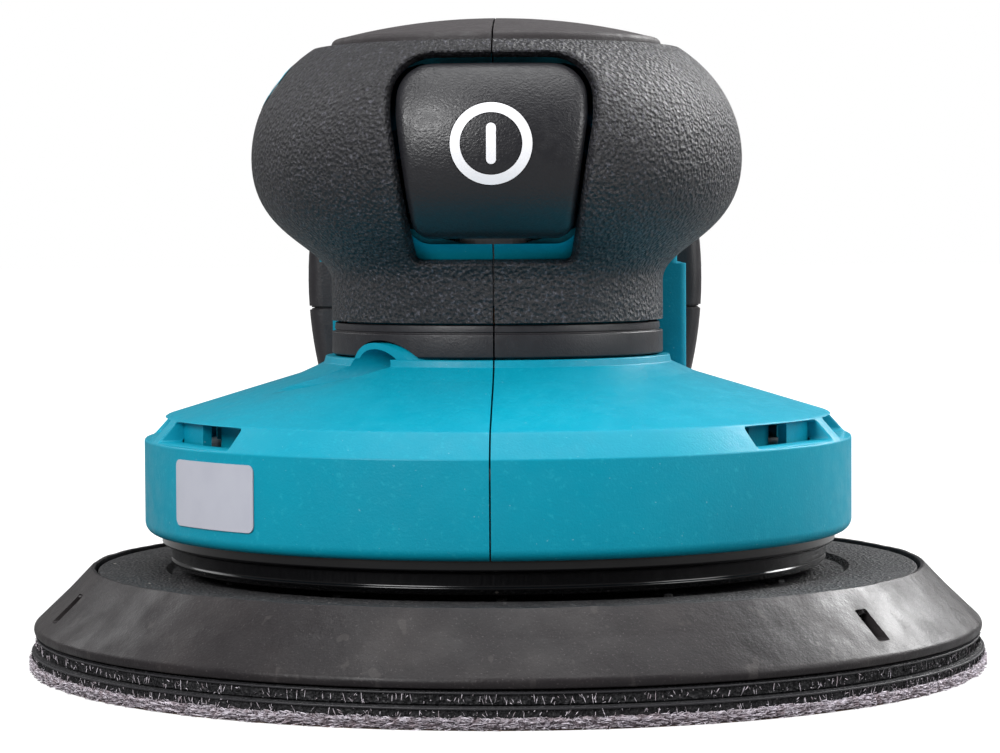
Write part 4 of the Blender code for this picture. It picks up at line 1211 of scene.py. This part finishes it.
def make_discs():
    fit(layer(DISC_R - 0.75, 0.05, DISC_TOP, 0.55), "sanding_disc", "loop_grey")
    fit(layer(DISC_R - 0.9, 0.0, 0.12, 0.03), "sanding_disc", "grit_face", [], "grit_face")
    pile = strands("loop_pile", 9000, 11, loop_path, 0.075)
    fit(pile, "sanding_disc", "loop_pile", [], "loop_pile", STRAND_SMOOTH)
    pile = strands("loop_pile_top", 5000, 12, top_loop_path, 0.07)
    fit(pile, "sanding_disc", "loop_pile", [], "loop_pile_top", STRAND_SMOOTH)
    for node, seed in (("interface_disc", 21), ("hook_facing", 31)):
        make_hook_sheet(node, seed)


def make_hook_sheet(node, seed):
    """A thin sheet whose rim shows black hooks, some pale ones, and the line of its woven base."""
    bottom, top = low(node, "Z"), high(node, "Z")
    outer = (high(node, "X") - low(node, "X")) / 2
    fit(layer(outer - 0.35, bottom, top, 0.15), node, "hook_black")
    fit(layer(outer + 0.1, top - 0.42, top - 0.12, 0.1), node, "black_plastic", [], f"{node}_web")
    hooks = strands("hooks", 5200, seed, hook_path_between(outer - 0.2, bottom, top - 0.3), 0.055)
    fit(hooks, node, "hook_black", [], f"{node}_hooks", STRAND_SMOOTH)
    pale = strands("pale_hooks", 900, seed + 1, hook_path_between(outer - 0.1, bottom, top - 0.3), 0.06)
    fit(pale, node, "loop_pile", [], f"{node}_pale_hooks", STRAND_SMOOTH)


# ---------------------------------------------------------------- power button

MARK_Z = 79.9
MARK_OUT, MARK_IN = 6.0, 4.55
BAR_HALF, BAR_LONG = 0.72, 3.0


def circle(radius, count=96):
    angles = [2 * math.pi * i / count for i in range(count)]
    return [(radius * math.cos(a), MARK_Z + radius * math.sin(a)) for a in angles]


def bar(grow):
    half, tall = BAR_HALF + grow, BAR_LONG + grow
    return rounded_box_outline(half, MARK_Z - tall, MARK_Z + tall, half * 0.98)


def on_button(outline, deep, shallow):
    """A plug of an outline on the button's face, between two insets of the head's surface."""
    block = prism(outline, "Y", -60.0, -30.0)
    return cut(keep_inside(block, head_solid(shallow, 55.0)), head_solid(deep, 52.0, 120))


def make_button():
    edge = [(0.0, 3.2), (0.0, 1.9), (-0.1, 1.45), (-0.35, 1.05), (-0.75, 0.82), (-1.3, 0.72),
            (-1.6, -0.6)]
    button = keep_inside(plug(button_outline, edge, front_point, FRONT), head_solid(0.75, 55.0))
    button = cut(button, head_solid(3.2, 52.0, 120), box((-10.5, -30.8, 68.8), (10.5, -20.0, 77.2)))
    groove = prism(circle(MARK_OUT + 0.12), "Y", -60.0, -30.0)
    groove = cut(groove, prism(circle(MARK_IN - 0.12), "Y", -61.0, -29.0))
    button = cut(button, cut(groove, head_solid(1.5, 52.0, 120)))
    button = cut(button, cut(prism(bar(0.1), "Y", -60.0, -30.0), head_solid(1.5, 52.0, 120)))
    post = box((-3.0, -35.5, 71.4), (3.0, -30.0, 74.4), 0.3)
    fit(join(button, post), "power_button", "button_plastic")

    mark = on_button(circle(MARK_OUT), 1.4, 0.68)
    mark = cut(mark, prism(circle(MARK_IN), "Y", -61.0, -29.0))
    fit(mark, "power_mark_ring", "white_plastic")
    fit(on_button(bar(0.0), 1.4, 0.68), "power_mark_bar", "white_plastic")


def make_speed_button():
    low_z, high_z = low("speed_button", "Z"), high("speed_button", "Z")
    levels = ((0.0, low_z), (0.0, high_z - 0.7), (-0.2, high_z - 0.2), (-0.7, high_z), (-1.2, high_z))
    outlines = [(speed_outline(grow), z) for grow, z in levels]
    dish = rounded_box_outline(3.5, SPEED_Y - 1.6, SPEED_Y + 1.6, 1.4)
    outlines.append((dish, high_z - 0.5))
    rings = [resampled([(x, y, z) for x, y in outline], 72) for outline, z in outlines]
    fit(loft(rings), "speed_button", "button_plastic")


# ---------------------------------------------------------------- battery

CASE_SPLIT = 54.0
LAMP_X, LAMP_STEP, LAMP_Z = 10.0, 3.2, 45.5      # the charge gauge's four lamps


def battery_outline(inset):
    """The pack's cross-section below its rails: barrel sides and rounded corners, as (x, z)."""
    bottom, top = BATTERY_LOW + inset, 70.0 - inset
    heights = [bottom + 3.4 + (top - 2.6 - bottom - 3.4) * k / 14 for k in range(15)]
    side = [(BATTERY_R - inset - (z - 59.0) ** 2 / 142.0, z) for z in heights]
    (low_x, low_z), (high_x, high_z) = side[0], side[-1]
    foot = rounded([(0.0, bottom, 0.0), (low_x - 0.6, bottom, 2.6), (low_x, low_z, 0.0)])[1:-1]
    brow = rounded([(high_x, high_z, 0.0), (high_x - 0.4, top, 1.7), (0.0, top, 0.0)])[1:-1]
    right = foot + side + brow
    return right + [(-x, z) for x, z in reversed(right)]


def battery_station(y, shrink, inset):
    outline = battery_outline(inset)
    share = 1 - shrink / 34.0
    return [(x * share, y, 52.0 + (z - 52.0) * share) for x, z in outline]


def battery_body(inset, ease=2.6, steps=7):
    front, back = BATTERY_FRONT + inset, BATTERY_BACK - inset
    eased = []
    for k in range(steps + 1):
        angle = math.pi / 2 * k / steps
        eased.append((ease * (1 - math.sin(angle)), ease * (1 - math.cos(angle))))
    rings = [battery_station(front + along, shrink, inset) for along, shrink in reversed(eased)]
    rings += [battery_station(back - along, shrink, inset) for along, shrink in eased]
    return loft(rings)


def rail_block():
    outline = rail_outline(RAIL_X - 0.3, RAIL_NECK_X - 0.3, RAIL_LIP + 0.3, 68.0, RAIL_TOP)
    return bevelled(prism(outline, "Y", 65.0, 160.0), 0.4)


def make_battery():
    case = join(battery_body(0.0), rail_block())
    case = cut(case, battery_body(2.2), box((-21.6, 76.6, 64.0), (21.6, 141.0, 75.2)))
    case = join(case, box((-17.0, 159.5, 50.4), (17.0, 169.5, 69.0)),
                box((-7.2, 143.5, 60.4), (7.2, 160.0, 69.0)))
    latch_space = prism(rounded_box_outline(15.4, 52.4, 80.0, 1.2), "Y", 161.0, 180.0)
    hook_space = box((-5.4, 145.0, 62.2), (5.4, 165.0, 80.0))
    slots = [box((x - 1.1, 60.0, 73.0), (x + 1.1, 74.0, 80.0)) for x in (-9.0, 9.0)]
    gauge = [(17.6, 43.6, 1.0), (24.4, 43.6, 1.0), (24.4, 47.4, 1.0), (17.6, 47.4, 1.0)]
    gauge = prism(rounded(gauge), "Y", 160.0, 175.0)
    lamps = [rod((x, 168.0, LAMP_Z), (x, 175.0, LAMP_Z), 0.8, 20) for x in lamp_places()]
    case = cut(case, *slots, gauge, latch_space, hook_space, *lamps)
    split_groove = cut(battery_body(-0.5), battery_body(0.35))
    split_groove = keep_inside(split_groove, box((-60, 40, CASE_SPLIT - 0.35), (60, 190, CASE_SPLIT + 0.35)))
    case = cut(case, split_groove)
    top = copy_of(case)
    bottom = cut(case, box((-60, 40, CASE_SPLIT - 0.1), (60, 190, 120)))
    top = cut(top, box((-60, 40, 0), (60, 190, CASE_SPLIT + 0.1)))
    fit(bottom, "battery_case_bottom", "battery_black")
    fit(top, "battery_case_top", "battery_black")
    make_lamps()


def lamp_places():
    return [LAMP_X - LAMP_STEP * k for k in range(4)]


def make_lamps():
    for number, x in enumerate(lamp_places(), 1):
        profile = rounded([(0.0, 0.9, 0.0), (0.65, 0.9, 0.35), (0.65, 0.0, 0.0), (0.0, 0.0, 0.0)], 4)
        lamp = turned(profile, 24)
        place = Matrix.Translation(Vector((x, 168.6, LAMP_Z)) * MM)
        lamp.data.transform(place @ Matrix.Rotation(-math.pi / 2, 4, "X"))
        fit(lamp, "battery_case_bottom", "white_plastic", [], f"gauge_lamp_{number}")


def make_latch():
    back = high("battery_latch", "Y")
    face = bevelled(prism(rounded_box_outline(15.0, 57.0, 68.6, 2.0), "Y", 163.6, back), 0.5)
    stem = box((-4.6, 150.0, 66.6), (4.6, 165.0, 68.4))
    hook = prism([(150.0, 67.0), (156.0, 67.0), (156.0, 79.2), (153.6, 79.2), (150.0, 76.8)], "X", -4.6, 4.6)
    grooves = [rod((-12.5, back + 0.35, z), (12.5, back + 0.35, z), 0.75, 24)
               for z in (59.4 + 1.9 * k for k in range(5))]
    latch = cut(join(face, stem, bevelled(hook, 0.3)), *grooves)
    fit(latch, "battery_latch", "latch_red")
    make_latch_spring()
    low_corner, high_corner = [tuple(c / MM for c in corner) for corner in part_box("gauge_button")]
    fit(box(low_corner, high_corner, 0.5), "gauge_button", "white_plastic")


def make_latch_spring():
    """The latch's coil spring, copied from its CAD node onto a mesh of its own."""
    spring = fit(copy_of(frame["nodes"]["latch_spring"]), "latch_spring", "steel")
    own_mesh(spring)


# ---------------------------------------------------------------- the rest of the CAD model

CARRIED = {             # CAD nodes that keep their shape and get a finer material
    "steel": ("stator_core", "motor_shaft", "rotor_magnets", "counterweight", "lower_bearing_inner",
              "lower_bearing_outer", "upper_bearing_inner", "upper_bearing_outer", "pad_bearing_inner",
              "pad_bearing_outer", "pad_screw_1", "pad_screw_2", "pad_screw_3"),
    "aluminium": ("bearing_box", "controller", "pad_hub"),
    "copper": ("stator_winding_top", "stator_winding_bottom"),
    "black_plastic": ("cooling_fan", "main_switch", "terminal_block"),
    "plain_rubber": ("upper_bearing_holder",),
    "white_plastic": ("switch_plunger",),
    "board_green": ("speed_board", "battery_board"),
    "cell_blue": tuple(f"battery_cell_{i}" for i in range(1, 6)),
}


def finish_carried_nodes():
    for material, nodes in CARRIED.items():
        for node in nodes:
            slots = frame["nodes"][node].data.materials
            slots.clear()
            slots.append(MATERIALS[material])


# ---------------------------------------------------------------- stage

CAMERA_DISTANCE, CAMERA_HEIGHT = 500.0, 66.7
CAMERA_PITCH, CAMERA_YAW, CAMERA_ROLL = 2.55, -1.2, 0.3     # degrees
CAMERA_LENS = 114.8
AIM_X = 0.35


def make_camera():
    camera = bpy.data.objects.new("camera", bpy.data.cameras.new("camera"))
    link(camera)
    camera.data.lens = CAMERA_LENS
    camera.data.sensor_width = 36.0
    yaw, pitch = math.radians(CAMERA_YAW), math.radians(CAMERA_PITCH)
    side, forward = CAMERA_DISTANCE * math.sin(yaw), CAMERA_DISTANCE * math.cos(yaw)
    place = Vector((AIM_X - side, -forward, CAMERA_HEIGHT))
    aim = Vector((AIM_X, 0.0, CAMERA_HEIGHT - CAMERA_DISTANCE * math.tan(pitch)))
    camera.location = place * MM
    turn = (aim - place).to_track_quat("-Z", "Y").to_matrix().to_4x4()
    camera.rotation_euler = (turn @ Matrix.Rotation(-math.radians(CAMERA_ROLL), 4, "Z")).to_euler()
    bpy.context.scene.camera = camera


def make_floor():
    floor_mesh = bmesh.new()
    bmesh.ops.create_grid(floor_mesh, x_segments=8, y_segments=8, size=6000.0)
    floor = object_of(floor_mesh, "floor")
    surface = Surface("floor_white", (0.22, 0.22, 0.22), 0.9)
    surface.tint(surface.between(surface.noise(300.0), 0.4, 0.7, 0.0, 0.2), (0.21, 0.21, 0.21))
    glow_on_camera(surface.material.node_tree)
    floor.data.materials.append(surface.material)


def glow_on_camera(tree):
    """Bright to the eye, so the floor runs out into the white backdrop, but not a lamp to the object."""
    seen = tree.nodes.new("ShaderNodeLightPath")
    place = tree.nodes.new("ShaderNodeNewGeometry")
    distance = tree.nodes.new("ShaderNodeVectorMath")
    distance.operation = "LENGTH"
    ramp = tree.nodes.new("ShaderNodeMapRange")
    for name, value in {"From Min": 0.15, "From Max": 0.6, "To Min": 0.84, "To Max": 1.05}.items():
        ramp.inputs[name].default_value = value
    glow = tree.nodes.new("ShaderNodeMath")
    glow.operation = "MULTIPLY"
    shader = next(node for node in tree.nodes if node.type == "BSDF_PRINCIPLED")
    shader.inputs["Emission Color"].default_value = (1.0, 1.0, 1.0, 1.0)
    tree.links.new(place.outputs["Position"], distance.inputs[0])
    tree.links.new(distance.outputs["Value"], ramp.inputs["Value"])
    tree.links.new(ramp.outputs["Result"], glow.inputs[0])
    tree.links.new(seen.outputs["Is Camera Ray"], glow.inputs[1])
    tree.links.new(glow.outputs["Value"], shader.inputs["Emission Strength"])


def area_light(name, place, aim, size, power):
    light = bpy.data.lights.new(name, "AREA")
    light.shape = "RECTANGLE"
    light.size, light.size_y = (s * MM for s in size)
    light.energy = power
    lamp = link(bpy.data.objects.new(name, light))
    lamp.location = Vector(place) * MM
    lamp.rotation_euler = (Vector(aim) - Vector(place)).to_track_quat("-Z", "Y").to_euler()


BACKDROP, AMBIENT = 1.0, 0.2      # the white backdrop's brightness as seen, and as light
SOFTBOXES = {                     # place, aim and size in mm, and power in watts
    "top_softbox": ((0, -60, 900), (0, 0, 40), (900, 700), 6.8),
    "front_left_softbox": ((-480, -720, 560), (0, 0, 60), (420, 420), 8.5),
    "right_softbox": ((800, -250, 420), (0, 0, 60), (400, 500), 4.0),
    "back_right_softbox": ((620, 520, 540), (0, 0, 20), (420, 420), 9.0),
    "back_left_softbox": ((-680, 480, 480), (0, 0, 20), (420, 420), 1.2),
}


def make_lights():
    world = bpy.data.worlds.new("studio")
    world.use_nodes = True
    tree = world.node_tree
    background = tree.nodes["Background"]
    background.inputs["Color"].default_value = (1.0, 1.0, 1.0, 1.0)
    seen = tree.nodes.new("ShaderNodeLightPath")
    strength = tree.nodes.new("ShaderNodeMapRange")
    strength.inputs["To Min"].default_value = AMBIENT
    strength.inputs["To Max"].default_value = BACKDROP
    tree.links.new(seen.outputs["Is Camera Ray"], strength.inputs["Value"])
    tree.links.new(strength.outputs["Result"], background.inputs["Strength"])
    bpy.context.scene.world = world
    bpy.context.scene.view_settings.view_transform = "Standard"
    for name, (place, aim, size, power) in SOFTBOXES.items():
        area_light(name, place, aim, size, power)


def main():
    make_housing()
    make_screws()
    make_grips()
    make_badge()
    make_top_cover()
    make_neck_band()
    make_label()
    make_baffle()
    make_cushion()
    make_backing_plate()
    make_discs()
    make_button()
    make_speed_button()
    make_battery()
    make_latch()
    finish_carried_nodes()
    make_floor()
    make_lights()
    make_camera()


main()
